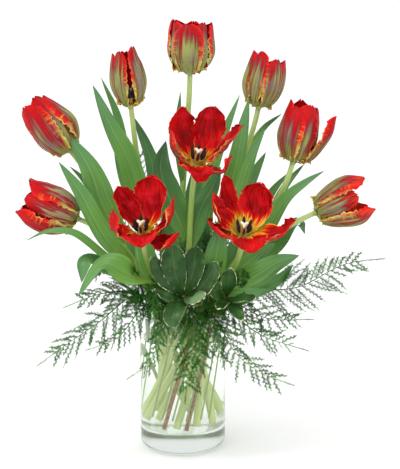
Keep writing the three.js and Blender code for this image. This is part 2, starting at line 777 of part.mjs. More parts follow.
function sprigLine(sprig) {
  const cut = onRing(WOODY.cutRadius, sprig.mouth + WOODY.turn, VASE.floor + WOODY.cutHeight);
  const mouth = onRing(WOODY.mouthRadius, sprig.mouth, VASE.height);
  const bend = onRing(WOODY.mouthRadius + 6, sprig.mouth + 5, VASE.height + WOODY.bend);
  const crown = at(sprig.crown);
  return [cut, mouth, bend, crown.clone().lerp(bend, 0.45).add(at([0, 0, 3])), crown];
}

function sprigLeafShape(sprig, leaf, k) {
  const [below, crown] = sprig.line.slice(-2);
  return {
    line: [crown.clone().lerp(below, 0.06 + 0.07 * k), ...leaf.through.map(at)],
    halfWidth: (u) => (leaf.width / 2) * Math.max(lens(u, 0.66) ** 0.9, 0.12),
    facing: () => at(leaf.face),
    rows: 3,
    cols: 2,
    thickness: LEAF_THICKNESS,
    wrap: 0.35,
    ruffle: 1.2,
    waves: 1.6,
    phase: leaf.width,
  };
}

/**
 * Plumosa fern fronds: mouth places the wiry stem in the vase mouth, through are
 * the points that it runs over outside, spread is the length of its longest side
 * branch, pairs their number on a side, and face the way the frond looks.
 */
const FRONDS = [
  {
    mouth: 214, spread: 36, pairs: 5, face: [-0.3, -0.8, 0.7],
    through: [[-58, -62, 196], [-90, -75, 172], [-124, -84, 150], [-160, -88, 124]],
  },
  {
    mouth: 192, spread: 30, pairs: 5, face: [-0.2, -0.8, 0.6],
    through: [[-64, -34, 196], [-96, -52, 196], [-132, -62, 184]],
  },
  {
    mouth: 228, spread: 26, pairs: 5, face: [0, -1, 0.5],
    through: [[-48, -76, 182], [-70, -92, 158], [-104, -100, 146]],
  },
  {
    mouth: -8, spread: 40, pairs: 7, face: [0, -1, 0.3],
    through: [[80, -30, 196], [130, -56, 206], [182, -62, 234], [226, -60, 240]],
  },
  {
    mouth: -22, spread: 28, pairs: 5, face: [0, -1, 0.4],
    through: [[62, -52, 186], [96, -78, 176], [146, -82, 176]],
  },
  {
    mouth: -44, spread: 30, pairs: 5, face: [0, -1, 0.4],
    through: [[56, -72, 180], [88, -88, 160], [140, -96, 144]],
  },
  {
    mouth: -64, spread: 32, pairs: 5, face: [0.2, -1, 0.4],
    through: [[40, -78, 172], [62, -92, 138], [92, -98, 118], [124, -100, 106]],
  },
  {
    mouth: -80, spread: 34, pairs: 5, face: [0, -1, 0.1],
    through: [[14, -80, 176], [12, -90, 140], [6, -88, 106], [4, -82, 78]],
  },
  {
    mouth: -98, spread: 28, pairs: 5, face: [0, -1, 0.3],
    through: [[-12, -76, 184], [-22, -90, 160], [-36, -94, 130], [-60, -92, 110]],
  },
  {
    mouth: 108, spread: 26, pairs: 5, face: [0.2, -1, 0.2],
    through: [[-30, 58, 250], [-46, 66, 310], [-60, 70, 372]],
  },
  {
    mouth: 72, spread: 26, pairs: 5, face: [0, -1, 0.2],
    through: [[46, 62, 250], [70, 72, 310], [92, 78, 366]],
  },
  {
    mouth: 144, spread: 30, pairs: 5, face: [-0.4, 0.6, 0.8],
    through: [[-62, 52, 204], [-96, 74, 196], [-124, 88, 172]],
  },
  {
    mouth: 36, spread: 30, pairs: 5, face: [0.4, 0.6, 0.8],
    through: [[62, 56, 200], [94, 80, 188], [120, 96, 162]],
  },
];
const FERN = {
  radius: 1.1, // of the wiry stem
  cutRadius: 44.3,
  mouthRadius: 44.3,
  twist: -40,
  cutHeight: 16, // above the vase's floor
  steps: 7, // of the line above the mouth
  bareSteps: 3, // of them without side branches
  overlap: 0.12, // how far the leafy rib runs back into the stem, in steps
  ribHalf: 0.5,
  joint: 2.2, // length of rib that a pair of side branches takes up
  lean: [0.6, 0.8], // of a side branch, along the rib and across it
  shorter: 0.6, // share of its length that a side branch has lost at the frond tip
  arch: 0.16, // droop of a side branch as a share of its length
  barbs: 1, // branchlets on each side of a side branch
  bareTip: 1.2, // length of a side branch past its last branchlet, in branchlets
  rootReach: 1.15, // of the branchlets, as a share of the side branch's reach
  sweep: 0.16, // of a branchlet towards the tip
};

function frondLine(frond) {
  const cut = onRing(FERN.cutRadius, frond.mouth + FERN.twist, VASE.floor + FERN.cutHeight);
  const mouth = onRing(FERN.mouthRadius, frond.mouth, VASE.height);
  const [first] = frond.through;
  const over = mouth.clone().lerp(at(first), 0.3).add(at([0, 0, 14]));
  const outside = [mouth, over, ...frond.through.map(at)];
  const curve = new THREE.CatmullRomCurve3(outside, false, 'centripetal');
  return [cut, ...curve.getPoints(FERN.steps)];
}

/**
 * The leafy part of a frond: stations along its rib, each with the pair of side
 * branches that leaves it, in the frond's own curved plane, shorter to the tip.
 */
function frondFrame(frond, line) {
  const [last, next] = line.slice(FERN.bareSteps);
  const start = last.clone().lerp(next, -FERN.overlap);
  const leafy = [start, ...line.slice(FERN.bareSteps + 1)];
  const curve = new THREE.CatmullRomCurve3(leafy, false, 'centripetal');
  const whole = curve.getLength();
  const steps = frond.pairs + 0.4;
  return Array.from({ length: frond.pairs }, (_, k) => {
    const s = (k + 0.15) / steps;
    const along = curve.getTangentAt(s);
    const normal = at(frond.face).projectOnPlane(along).normalize();
    const side = along.clone().cross(normal);
    const length = frond.spread * (1 - FERN.shorter * s);
    const reach = Math.min(0.36 * length, (0.55 * whole) / steps);
    const ends = [curve.getPointAt(s), curve.getPointAt(s + FERN.joint / whole)];
    const [heel, tip] = [curve.getPointAt(0), curve.getPointAt(1)];
    return { ends, heel, tip, along, normal, side, length, reach };
  });
}

/** One side branch of a station, on one side of the rib, at a share of its length. */
function branchOf(station, sign, share) {
  const { along, side, normal, length, reach } = station;
  const [forward, outward] = FERN.lean;
  const direction = along.clone().multiplyScalar(forward).addScaledVector(side, outward * sign);
  return { direction: direction.normalize(), normal, length: length * share, reach: reach * share };
}

/** The near and far rib points of a station on one side. */
function ribPoints(station, sign) {
  return station.ends.map((end) => end.clone().addScaledVector(station.side, sign * FERN.ribHalf));
}

/** A side branch on its own and with clearance, to test for neighbours. */
function loneBranch(station, sign, share) {
  const points = ribPoints(station, sign);
  const sheet = { points, normals: points.map(() => station.normal), faces: [] };
  addBranch(sheet, sign > 0 ? [1, 0] : [0, 1], branchOf(station, sign, share), GAP);
  return plate(sheet, SPRAY_THICKNESS + 2 * GAP);
}

/** The leafy part of a frond as one plate; shares holds the length of each branch. */
function frondPlate(frame, shares) {
  const sheet = { points: [], normals: [], faces: [] };
  const [first, last] = [frame[0], frame.at(-1)];
  const across = first.side.clone().multiplyScalar(FERN.ribHalf);
  sheet.points.push(first.heel.clone().add(across), first.heel.clone().sub(across));
  sheet.normals.push(first.normal, first.normal);
  let [nearRight, nearLeft] = [0, 1];
  frame.forEach((station, k) => {
    const [right, farRight, left, farLeft] = [2, 3, 4, 5].map((i) => 4 * k + i);
    sheet.points.push(...ribPoints(station, 1), ...ribPoints(station, -1));
    sheet.normals.push(station.normal, station.normal, station.normal, station.normal);
    sheet.faces.push([nearLeft, nearRight, right], [nearLeft, right, left]);
    sheet.faces.push([left, right, farRight], [left, farRight, farLeft]);
    [nearRight, nearLeft] = [farRight, farLeft];
  });
  sheet.faces.push([nearLeft, nearRight, sheet.points.push(last.tip) - 1]);
  sheet.normals.push(last.normal);
  frame.forEach((station, k) => {
    const edges = { 1: [4 * k + 3, 4 * k + 2], '-1': [4 * k + 4, 4 * k + 5] };
    [1, -1]
      .filter((sign) => shares[k][sign])
      .forEach((sign) => addBranch(sheet, edges[sign], branchOf(station, sign, shares[k][sign])));
  });
  return plate(sheet, SPRAY_THICKNESS);
}

// ---------------------------------------------------------------- assembly

const bouquet = new THREE.Group();

function addNode(name, solid, finish) {
  const { vertProperties, triVerts } = solid.getMesh();
  const geometry = new THREE.BufferGeometry();
  geometry.setAttribute('position', new THREE.BufferAttribute(vertProperties, 3));
  geometry.setIndex(new THREE.BufferAttribute(triVerts, 1));
  const mesh = new THREE.Mesh(geometry, new THREE.MeshStandardMaterial(finish));
  mesh.name = name;
  bouquet.add(mesh);
}

const numbered = (name, k) => `${name}_${String(k + 1).padStart(2, '0')}`;

// The stems are set out first: everything else keeps clear of them.
const vase = vaseSolid();
claim('vase', vase);

const tulips = TULIPS.map((tulip, k) => {
  const name = numbered('tulip', k);
  const line = tulipLine(tulip, VASE.floor + CUT_HEIGHTS[k]);
  const radii = line.map((_, i) => {
    const above = Math.max(i - 1, 0) / (line.length - 2);
    return mix(TULIP.stemRadius, TULIP.neckRadius, above);
  });
  const [stem, wide] = [0, GAP].map((grow) => tube(line, radii, TULIP.sides, grow));
  return { ...tulip, name, line, stem, wide };
});
const sprigs = SPRIGS.map((sprig, k) => {
  const line = sprigLine(sprig);
  const radii = line.map((_, i) => WOODY.radius - WOODY.taper * i);
  const [stem, wide] = [0, GAP].map((grow) => tube(line, radii, 6, grow));
  return { ...sprig, name: numbered('pittosporum', k), line, stem, wide };
});
const fronds = FRONDS.map((frond, k) => {
  const line = frondLine(frond);
  const frame = frondFrame(frond, line);
  const bare = line.slice(0, FERN.bareSteps + 1);
  const radii = bare.map(() => FERN.radius);
  const rib = [frame[0].heel, ...frame.map((station) => station.ends[0]), frame[0].tip];
  const ribRadii = rib.map(() => FERN.radius);
  const wide = tube(bare, radii, 3, GAP).add(tube(rib, ribRadii, 4, GAP));
  return { ...frond, name: numbered('fern', k), frame, stem: tube(bare, radii, 3), wide };
});
[...tulips, ...sprigs, ...fronds].forEach((plant) => claim(plant.name, plant.wide));

// The stems stand in plain holes in the water.
const holes = joined([...tulips, ...sprigs, ...fronds].map((plant) => plant.wide));

addNode('vase', vase, COLOURS.glass);
addNode('water', waterSolid().subtract(holes), COLOURS.water);

// Blooms come before the foliage, hearts before petals.
tulips.forEach((tulip) => {
  const owner = `${tulip.name}_bloom`;
  claim(`${tulip.name}_heart`, heart(tulip, GAP));
  addNode(`${tulip.name}_heart`, heart(tulip), COLOURS.heart);
  const shapes = tulip.open ? openPetals(tulip) : closedPetals(tulip);
  const root = at(tulip.base);
  const petals = shapes.map((shape) => carve(blade(shape), owner, root));
  addNode(owner, joined([receptacle(tulip), ...petals]), COLOURS.tepal);
  claim(owner, joined([receptacle(tulip, GAP), ...shapes.map((shape) => blade(shape, GAP))]));
});

sprigs.forEach((sprig) => {
  const shapes = sprig.leaves.map((leaf, k) => sprigLeafShape(sprig, leaf, k));
  const leaves = shapes.map((shape) => carve(blade(shape), sprig.name, at(sprig.crown)));
  addNode(sprig.name, joined([sprig.stem, ...leaves]), COLOURS.pittosporum);
  shapes.forEach((shape) => claim(sprig.name, blade(shape, GAP)));
});

tulips.forEach((tulip) => {
  const shapes = tulip.leaves.map((leaf) => leafShape(tulip.line, leaf));
  const leaves = shapes.map((shape) => carve(blade(shape), tulip.name, shape.line[0]));
  addNode(`${tulip.name}_stem`, joined([tulip.stem, ...leaves]), COLOURS.stem);
  shapes.forEach((shape) => claim(tulip.name, blade(shape, GAP)));
});

// A fern branch that would meet something is cut shorter, or left off.
const SHORTER = [1, 0.75, 0.5, 0.3];
fronds.forEach((frond) => {
  const { frame } = frond;
  const shares = frame.map((station) => {
    const fits = (sign, share) => isClear(loneBranch(station, sign, share), frond.name);
    const longest = (sign) => SHORTER.find((share) => fits(sign, share));
    return { 1: longest(1), '-1': longest(-1) };
  });
  frame.forEach((station, k) => {
    [1, -1]
      .filter((sign) => shares[k][sign])
      .forEach((sign) => claim(frond.name, loneBranch(station, sign, shares[k][sign])));
  });
  addNode(frond.name, joined([frond.stem, frondPlate(frame, shares)]), COLOURS.fern);
});

export default bouquet;
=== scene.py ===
"""Ten parrot tulips in a clear glass cylinder vase, with plumosa fern and pittosporum.

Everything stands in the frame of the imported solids: +Z up, the origin in the middle of
the vase's underside, the front of the arrangement facing -Y. Plants and vase are sized
and placed in millimetres, and MeshBuilder turns them into metres.
"""

import logging
import math
from dataclasses import dataclass, field
from enum import Enum
from functools import reduce
from typing import Callable, Sequence

import bpy
import numpy as np
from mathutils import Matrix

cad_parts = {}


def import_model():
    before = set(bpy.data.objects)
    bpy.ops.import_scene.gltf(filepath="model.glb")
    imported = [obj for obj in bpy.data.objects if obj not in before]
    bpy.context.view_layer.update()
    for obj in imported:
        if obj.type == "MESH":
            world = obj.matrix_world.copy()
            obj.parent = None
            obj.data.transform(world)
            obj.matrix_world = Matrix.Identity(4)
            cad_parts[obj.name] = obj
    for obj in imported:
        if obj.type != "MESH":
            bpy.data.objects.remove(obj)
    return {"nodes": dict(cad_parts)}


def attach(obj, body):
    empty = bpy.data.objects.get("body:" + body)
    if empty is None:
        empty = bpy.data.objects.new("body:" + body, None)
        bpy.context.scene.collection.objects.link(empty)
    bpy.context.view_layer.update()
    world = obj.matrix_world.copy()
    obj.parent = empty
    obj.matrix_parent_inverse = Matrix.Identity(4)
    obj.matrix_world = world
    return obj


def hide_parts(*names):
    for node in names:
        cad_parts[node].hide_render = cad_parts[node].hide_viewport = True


LOG = logging.getLogger("arrangement")

Point = tuple[float, float, float]
Colour = tuple[float, float, float, float]
Array = np.ndarray
Draws = np.random.Generator

MM = 0.001
BODY = "root"
FRONT: Point = (0, -1, 0.25)

# Each next sine of a ripple is lower, and its phase is drawn from about a whole turn.
RIPPLE_FALL = 0.6
PHASE_RANGE = 7

# Directions that stems and needles hardly ever run along, to lay their sides square to.
TUBE_SIDE: Point = (0.31, -0.87, 0.39)
NEEDLE_SIDE: Point = (0.3, 0.2, 0.93)

# A needle's faces by its three foot corners and its tip, and where these are in the UVs.
NEEDLE_FACES = ((0, 1, 3), (1, 2, 3), (2, 0, 3), (2, 1, 0))
NEEDLE_PLACES = ((0, 0.2), (0, 0.5), (0, 0.8), (1, 0.5))

# Millimetres of a turned piece that the UV square covers.
TURNED_SPAN = 500


class Slot(Enum):
    """Kinds of piece, which settle is given but does not use."""

    GLASS = "glass"
    WATER = "water"
    PETAL = "petal"
    HEART = "heart"
    STEM = "stem"
    PITTOSPORUM = "pittosporum"
    FERN = "fern"


# -------------------- small helpers


def unit(vectors: Array) -> Array:
    """Scales vectors, one or many, to length 1."""
    return vectors / np.maximum(np.linalg.norm(vectors, axis=-1, keepdims=True), 1e-9)


def flatten_onto(vectors: Array, axis: Array) -> Array:
    """The part of each vector that is square to an axis, at length 1.

    Args:
        vectors: One or many vectors.
        axis: Directions of length 1, one or as many.

    Returns:
        Vectors of length 1, square to the axis.
    """
    along = np.sum(vectors * axis, axis=-1, keepdims=True)
    return unit(vectors - along * axis)


def on_ring(radius: float, degrees: float, z: float) -> Array:
    """A point on a circle round the vase's axis."""
    angle = math.radians(degrees)
    return np.array([radius * math.cos(angle), radius * math.sin(angle), z])


def lens(u: Array, peak: float) -> Array:
    """Rises from 0 to 1 at a peak and falls back to 0 at 1.

    Args:
        u: Shares of a length.
        peak: The share where it reaches 1.

    Returns:
        Heights from 0 to 1, shaped as u.
    """
    quarter = math.pi / 2
    rise = np.sin(quarter * np.minimum(u / peak, 1))
    fall = np.cos(quarter * np.clip((u - peak) / (1 - peak), 0, 1))
    return np.where(u < peak, rise, fall)


def ripple(x: Array, pitches: Sequence[float], draw: Draws) -> Array:
    """A sum of sines with drawn phases, which looks irregular.

    Args:
        x: Where to read it.
        pitches: Waves per unit of x; later ones get less height.
        draw: The source of the phases.

    Returns:
        Heights of about -1 to 1, shaped as x.
    """
    shares = [1 + RIPPLE_FALL * k for k in range(len(pitches))]
    total = np.zeros_like(x)
    for pitch, share in zip(pitches, shares):
        phase = draw.uniform(0, PHASE_RANGE)
        total = total + np.sin(2 * math.pi * pitch * x + phase) / share
    return total / sum(1 / share for share in shares)


def stream(place: Sequence[float]) -> Draws:
    """A repeatable source of drawn numbers for the piece at a place."""
    return np.random.default_rng([abs(round(x)) for x in place])


class Curve:
    """A smooth line through points, read by the share of its length."""

    def __init__(self, points: Sequence[Array], samples: int = 48) -> None:
        """Lays a centripetal spline through the points.

        Args:
            points: Two or more points.
            samples: Steps between each two points.
        """
        knots = [np.asarray(p, float) for p in points]
        knots = [2 * knots[0] - knots[1], *knots, 2 * knots[-1] - knots[-2]]
        spans = []
        for four in zip(knots, knots[1:], knots[2:], knots[3:]):
            spans.append(self._span(four, np.linspace(0, 1, samples, endpoint=False)))
        self.dense = np.vstack([*spans, knots[-2][None]])
        steps = np.linalg.norm(np.diff(self.dense, axis=0), axis=1)
        self.length = float(steps.sum())
        self.shares = np.concatenate([[0], np.cumsum(steps)]) / self.length

    @staticmethod
    def _span(knots: Sequence[Array], t: Array) -> Array:
        """The points of the spline between the middle two of four knots.

        Args:
            knots: The four knots.
            t: Shares of the span.

        Returns:
            A point for each share.
        """
        p0, p1, p2, p3 = knots
        d0, d1, d2 = (math.sqrt(np.linalg.norm(b - a)) for a, b in zip(knots, knots[1:]))
        m1 = d1 * ((p1 - p0) / d0 - (p2 - p0) / (d0 + d1) + (p2 - p1) / d1)
        m2 = d1 * ((p2 - p1) / d1 - (p3 - p1) / (d1 + d2) + (p3 - p2) / d2)
        t = t[:, None]
        bend = -3 * p1 + 3 * p2 - 2 * m1 - m2
        return p1 + m1 * t + bend * t**2 + (2 * p1 - 2 * p2 + m1 + m2) * t**3

    def at(self, u: Array) -> Array:
        """The points at shares of the length."""
        u = np.atleast_1d(u)
        return np.stack([np.interp(u, self.shares, self.dense[:, k]) for k in range(3)], axis=-1)

    def along(self, u: Array) -> Array:
        """The directions of the line.

        Args:
            u: Shares of the length.

        Returns:
            A vector of length 1 for each share.
        """
        u = np.atleast_1d(u)
        reach = 0.004
        return unit(self.at(np.minimum(u + reach, 1)) - self.at(np.maximum(u - reach, 0)))

    def at_height(self, z: float) -> Array:
        """The first point of the line at a height.

        Args:
            z: The height, above the line's first point.

        Returns:
            The point.
        """
        first = int(np.argmax(self.dense[:, 2] > z))
        low, high = self.dense[first - 1], self.dense[first]
        return low + (high - low) * (z - low[2]) / (high[2] - low[2])


def bezier(points: Sequence[Array], count: int) -> Array:
    """Points along a cubic Bezier curve.

    Args:
        points: Its four control points.
        count: How many points to lay along it.

    Returns:
        The points, count by 3.
    """
    t = np.linspace(0, 1, count)[:, None]
    a, b, c, d = points
    return a * (1 - t) ** 3 + 3 * b * t * (1 - t) ** 2 + 3 * c * t**2 * (1 - t) + d * t**3


# -------------------- meshes


class MeshBuilder:
    """Collects faces in millimetres and makes one Blender object of them."""

    def __init__(self) -> None:
        """Starts empty."""
        self.count = 0
        self.points: list[Array] = []
        self.corners: list[Array] = []
        self.sizes: list[Array] = []
        self.places: list[Array] = []
        self.slots: list[Array] = []

    def add(self, points: Array, places: Array, *groups: tuple[Array, int]) -> None:
        """Adds points and the faces between them.

        Args:
            points: Corner points, n by 3.
            places: Where each point is in the UV square, n by 2.
            groups: Faces by their corner numbers, m by 3 or m by 4, each with the
                number of its material.
        """
        for faces, slot in groups:
            self.corners.append((faces + self.count).ravel())
            self.sizes.append(np.full(len(faces), faces.shape[1]))
            self.places.append(places[faces.ravel()])
            self.slots.append(np.full(len(faces), slot))
        self.points.append(points)
        self.count += len(points)

    def shell(self, grid: Array, places: Array, thickness: Array, upper: int, under: int) -> None:
        """Adds a thin closed sheet round a grid of points.

        Args:
            grid: Points, rows by columns by 3, with rows from root to tip.
            places: Where each point is in the UV square, rows by columns by 2.
            thickness: Thickness at each point, rows by columns.
            upper: Material number of the side that the normals leave.
            under: Material number of the other side and the rim.
        """
        rows, cols = grid.shape[:2]
        normal = unit(np.cross(np.gradient(grid, axis=1), np.gradient(grid, axis=0)))
        lift = normal * (thickness / 2)[..., None]
        number = np.arange(rows * cols).reshape(rows, cols)
        corners = [number[:-1, :-1], number[:-1, 1:], number[1:, 1:], number[1:, :-1]]
        quads = np.stack(corners, axis=-1).reshape(-1, 4)
        around = [number[0, :-1], number[:-1, -1], number[-1, :0:-1], number[:0:-1, 0]]
        edge = np.concatenate(around)
        ahead = np.roll(edge, -1)
        below = rows * cols
        rim = np.stack([edge, edge + below, ahead + below, ahead], axis=-1)
        points = np.vstack([(grid + lift).reshape(-1, 3), (grid - lift).reshape(-1, 3)])
        flat = places.reshape(-1, 2)
        both = np.vstack([flat, flat])
        self.add(points, both, (quads, upper), (quads[:, ::-1] + below, under), (rim, under))

    def rings(self, rings: Array, ends: Array, places: Array, slot: int) -> None:
        """Adds a closed skin over rings of points, one above the other.

        Args:
            rings: Points, rows by sides by 3.
            ends: The two points that close the first and the last ring.
            places: Where each ring point, then each end, is in the UV square.
            slot: Material number.
        """
        rows, sides = rings.shape[:2]
        number = np.arange(rows * sides).reshape(rows, sides)
        ahead = np.roll(number, -1, axis=1)
        wall = np.stack([number[:-1], ahead[:-1], ahead[1:], number[1:]], axis=-1)
        first, last = np.full(sides, rows * sides), np.full(sides, rows * sides + 1)
        bottom = np.stack([ahead[0], number[0], first], axis=-1)
        top = np.stack([number[-1], ahead[-1], last], axis=-1)
        points = np.vstack([rings.reshape(-1, 3), ends])
        self.add(points, places, (wall.reshape(-1, 4), slot), (bottom, slot), (top, slot))

    def tube(self, line: Array, radii: Array, sides: int, slot: int = 0, squash: float = 1) -> None:
        """Adds a closed tube round a line of points.

        Args:
            line: Points, n by 3.
            radii: A radius at each point.
            sides: Corners of the section.
            slot: Material number.
            squash: Depth of the section as a share of its width.
        """
        along = unit(np.gradient(line, axis=0))
        normal = flatten_onto(np.array(TUBE_SIDE), along[0])
        turn = np.arange(sides) * 2 * math.pi / sides
        rings = []
        for point, tangent, radius in zip(line, along, radii):
            normal = flatten_onto(normal, tangent)
            side = np.cross(tangent, normal)
            ring = np.outer(np.cos(turn) * squash, normal) + np.outer(np.sin(turn), side)
            rings.append(point + radius * ring)
        u = np.repeat(np.linspace(0, 1, len(line)), sides)
        v = np.tile(np.abs(2 * np.arange(sides) / sides - 1), len(line))
        places = np.vstack([np.stack([u, v], axis=-1), [[0, 0.5], [1, 0.5]]])
        self.rings(np.stack(rings), np.vstack([line[0], line[-1]]), places, slot)

    def lathe(self, profile: Array, segments: int, slot: int = 0) -> None:
        """Adds a closed solid turned round the Z axis.

        Args:
            profile: Radius and height of each point, from the axis and back to it.
            segments: Steps of the turn.
            slot: Material number.
        """
        turn = np.arange(segments) * 2 * math.pi / segments
        radius, height = profile[1:-1, 0][:, None], profile[1:-1, 1][:, None]
        rings = np.stack([radius * np.cos(turn), radius * np.sin(turn), height + 0 * turn], axis=-1)
        ends = np.array([[0, 0, profile[0, 1]], [0, 0, profile[-1, 1]]])
        points = np.vstack([rings.reshape(-1, 3), ends])
        places = np.stack([points[:, 2], points[:, 0]], axis=-1) / TURNED_SPAN + 0.5
        self.rings(rings, ends, places, slot)

    def needles(self, roots: Array, vectors: Array, radius: float, slot: int = 0) -> None:
        """Adds many slim three-sided needles.

        Args:
            roots: Where each starts, n by 3.
            vectors: From the start to the tip of each, n by 3.
            radius: Of the foot.
            slot: Material number.
        """
        aim = unit(vectors)
        side = unit(np.cross(aim, np.array(NEEDLE_SIDE)))
        depth = np.cross(aim, side)
        turns = [2 * math.pi * k / 3 for k in range(3)]
        foot = [roots + radius * (math.cos(a) * side + math.sin(a) * depth) for a in turns]
        points = np.stack([*foot, roots + vectors], axis=1).reshape(-1, 3)
        first = np.arange(len(roots))[:, None, None] * 4
        faces = (first + np.array(NEEDLE_FACES)).reshape(-1, 3)
        self.add(points, np.tile(NEEDLE_PLACES, (len(roots), 1)), (faces, slot))

    def build(self, name: str, materials: Sequence[bpy.types.Material]) -> bpy.types.Object:
        """Makes the Blender object, in metres and shaded smooth.

        Args:
            name: The object's name.
            materials: Its materials, in the order of their numbers.

        Returns:
            The object, linked to the scene.
        """
        mesh = bpy.data.meshes.new(name)
        points = np.vstack(self.points) * MM
        corners = np.concatenate(self.corners)
        sizes = np.concatenate(self.sizes)
        mesh.vertices.add(len(points))
        mesh.vertices.foreach_set("co", points.astype(np.float32).ravel())
        mesh.loops.add(len(corners))
        mesh.loops.foreach_set("vertex_index", corners.astype(np.int32))
        mesh.polygons.add(len(sizes))
        starts = np.concatenate([[0], np.cumsum(sizes)[:-1]])
        mesh.polygons.foreach_set("loop_start", starts.astype(np.int32))
        mesh.polygons.foreach_set("material_index", np.concatenate(self.slots).astype(np.int32))
        layer = mesh.uv_layers.new(name="UVMap")
        layer.data.foreach_set("uv", np.vstack(self.places).astype(np.float32).ravel())
        mesh.update(calc_edges=True)
        mesh.validate()
        mesh.shade_smooth()
        for material in materials:
            mesh.materials.append(material)
        made = bpy.data.objects.new(name, mesh)
        bpy.context.scene.collection.objects.link(made)
        return made


def settle(piece: bpy.types.Object, slot: Slot, *nodes: str) -> None:
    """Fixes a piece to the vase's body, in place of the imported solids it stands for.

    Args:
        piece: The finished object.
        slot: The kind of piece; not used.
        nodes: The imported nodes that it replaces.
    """
    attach(piece, BODY)
    if nodes:
        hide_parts(*nodes)
    LOG.info("%s: %d faces", piece.name, len(piece.data.polygons))


@dataclass
class Blade:
    """A thin curved blade along a line: a petal or a leaf, in millimetres.

    The section is an arc that bends through wrap radians on each side of the middle,
    towards the way the blade faces. relief lifts points along the normal, fringe widens
    the margins, and crown moves points towards the tip; each reads the grids u, from
    root to tip, and v, from -1 to 1 across. edge_thickness is the thickness at the
    margins as a share of that in the middle. Rows and columns crowd together towards the
    tip and the margins by the powers tip_crowding and margin_crowding.
    """

    line: Curve
    half_width: Callable[[Array], Array]
    facing: Callable[[Array], Array]
    rows: int
    cols: int
    wrap: float
    thickness: float
    relief: Callable[[Array, Array], Array]
    fringe: Callable[[Array, Array], Array]
    crown: Callable[[Array, Array], Array]
    edge_thickness: float = 0.35
    tip_crowding: float = 1.3
    margin_crowding: float = 1.25

    def steps(self) -> tuple[Array, Array]:
        """Where the rows and the columns lie.

        Returns:
            The rows, from 0 at the root to 1, and the columns, from -1 to 1 across.
        """
        u = 1 - (1 - np.linspace(0, 1, self.rows + 1)) ** self.tip_crowding
        side = np.linspace(-1, 1, self.cols + 1)
        return u, np.sign(side) * (1 - (1 - np.abs(side)) ** self.margin_crowding)

    def grid(self) -> Array:
        """The middle surface.

        Returns:
            Its points, rows by columns by 3.
        """
        u, v = self.steps()
        middle = self.line.at(u)
        along = self.line.along(u)
        normal = flatten_onto(self.facing(middle), along)
        across = np.cross(along, normal)
        grid_u, grid_v = np.meshgrid(u, v, indexing="ij")
        radius = (self.half_width(u) / self.wrap)[:, None]
        turn = grid_v * self.wrap * (1 + self.fringe(grid_u, grid_v))
        sideways = radius * np.sin(turn)
        lift = radius * (1 - np.cos(turn)) + self.relief(grid_u, grid_v)
        forward = self.crown(grid_u, grid_v)
        return (
            middle[:, None]
            + sideways[..., None] * across[:, None]
            + lift[..., None] * normal[:, None]
            + forward[..., None] * along[:, None]
        )

    def add_to(self, builder: MeshBuilder, upper: int, under: int) -> None:
        """Adds the blade, thinner towards its margins.

        Args:
            builder: What collects the faces.
            upper: Material number of the side that it faces with.
            under: Material number of its back.
        """
        u, v = np.meshgrid(*self.steps(), indexing="ij")
        thin = self.thickness * (1 - (1 - self.edge_thickness) * np.abs(v) ** 3)
        builder.shell(self.grid(), np.stack([u, (v + 1) / 2], axis=-1), thin, upper, under)


# -------------------- finishes


def srgb(code: str) -> Colour:
    """Turns a hexadecimal screen colour such as 'c01414' into a linear one.

    Args:
        code: Two digits each for red, green and blue.

    Returns:
        Linear red, green and blue from 0 to 1, and full cover.
    """
    parts = [int(code[k : k + 2], 16) / 255 for k in (0, 2, 4)]
    linear = [c / 12.92 if c <= 0.04045 else ((c + 0.055) / 1.055) ** 2.4 for c in parts]
    return (*linear, 1.0)


Socket = bpy.types.NodeSocket
Input = Socket | float


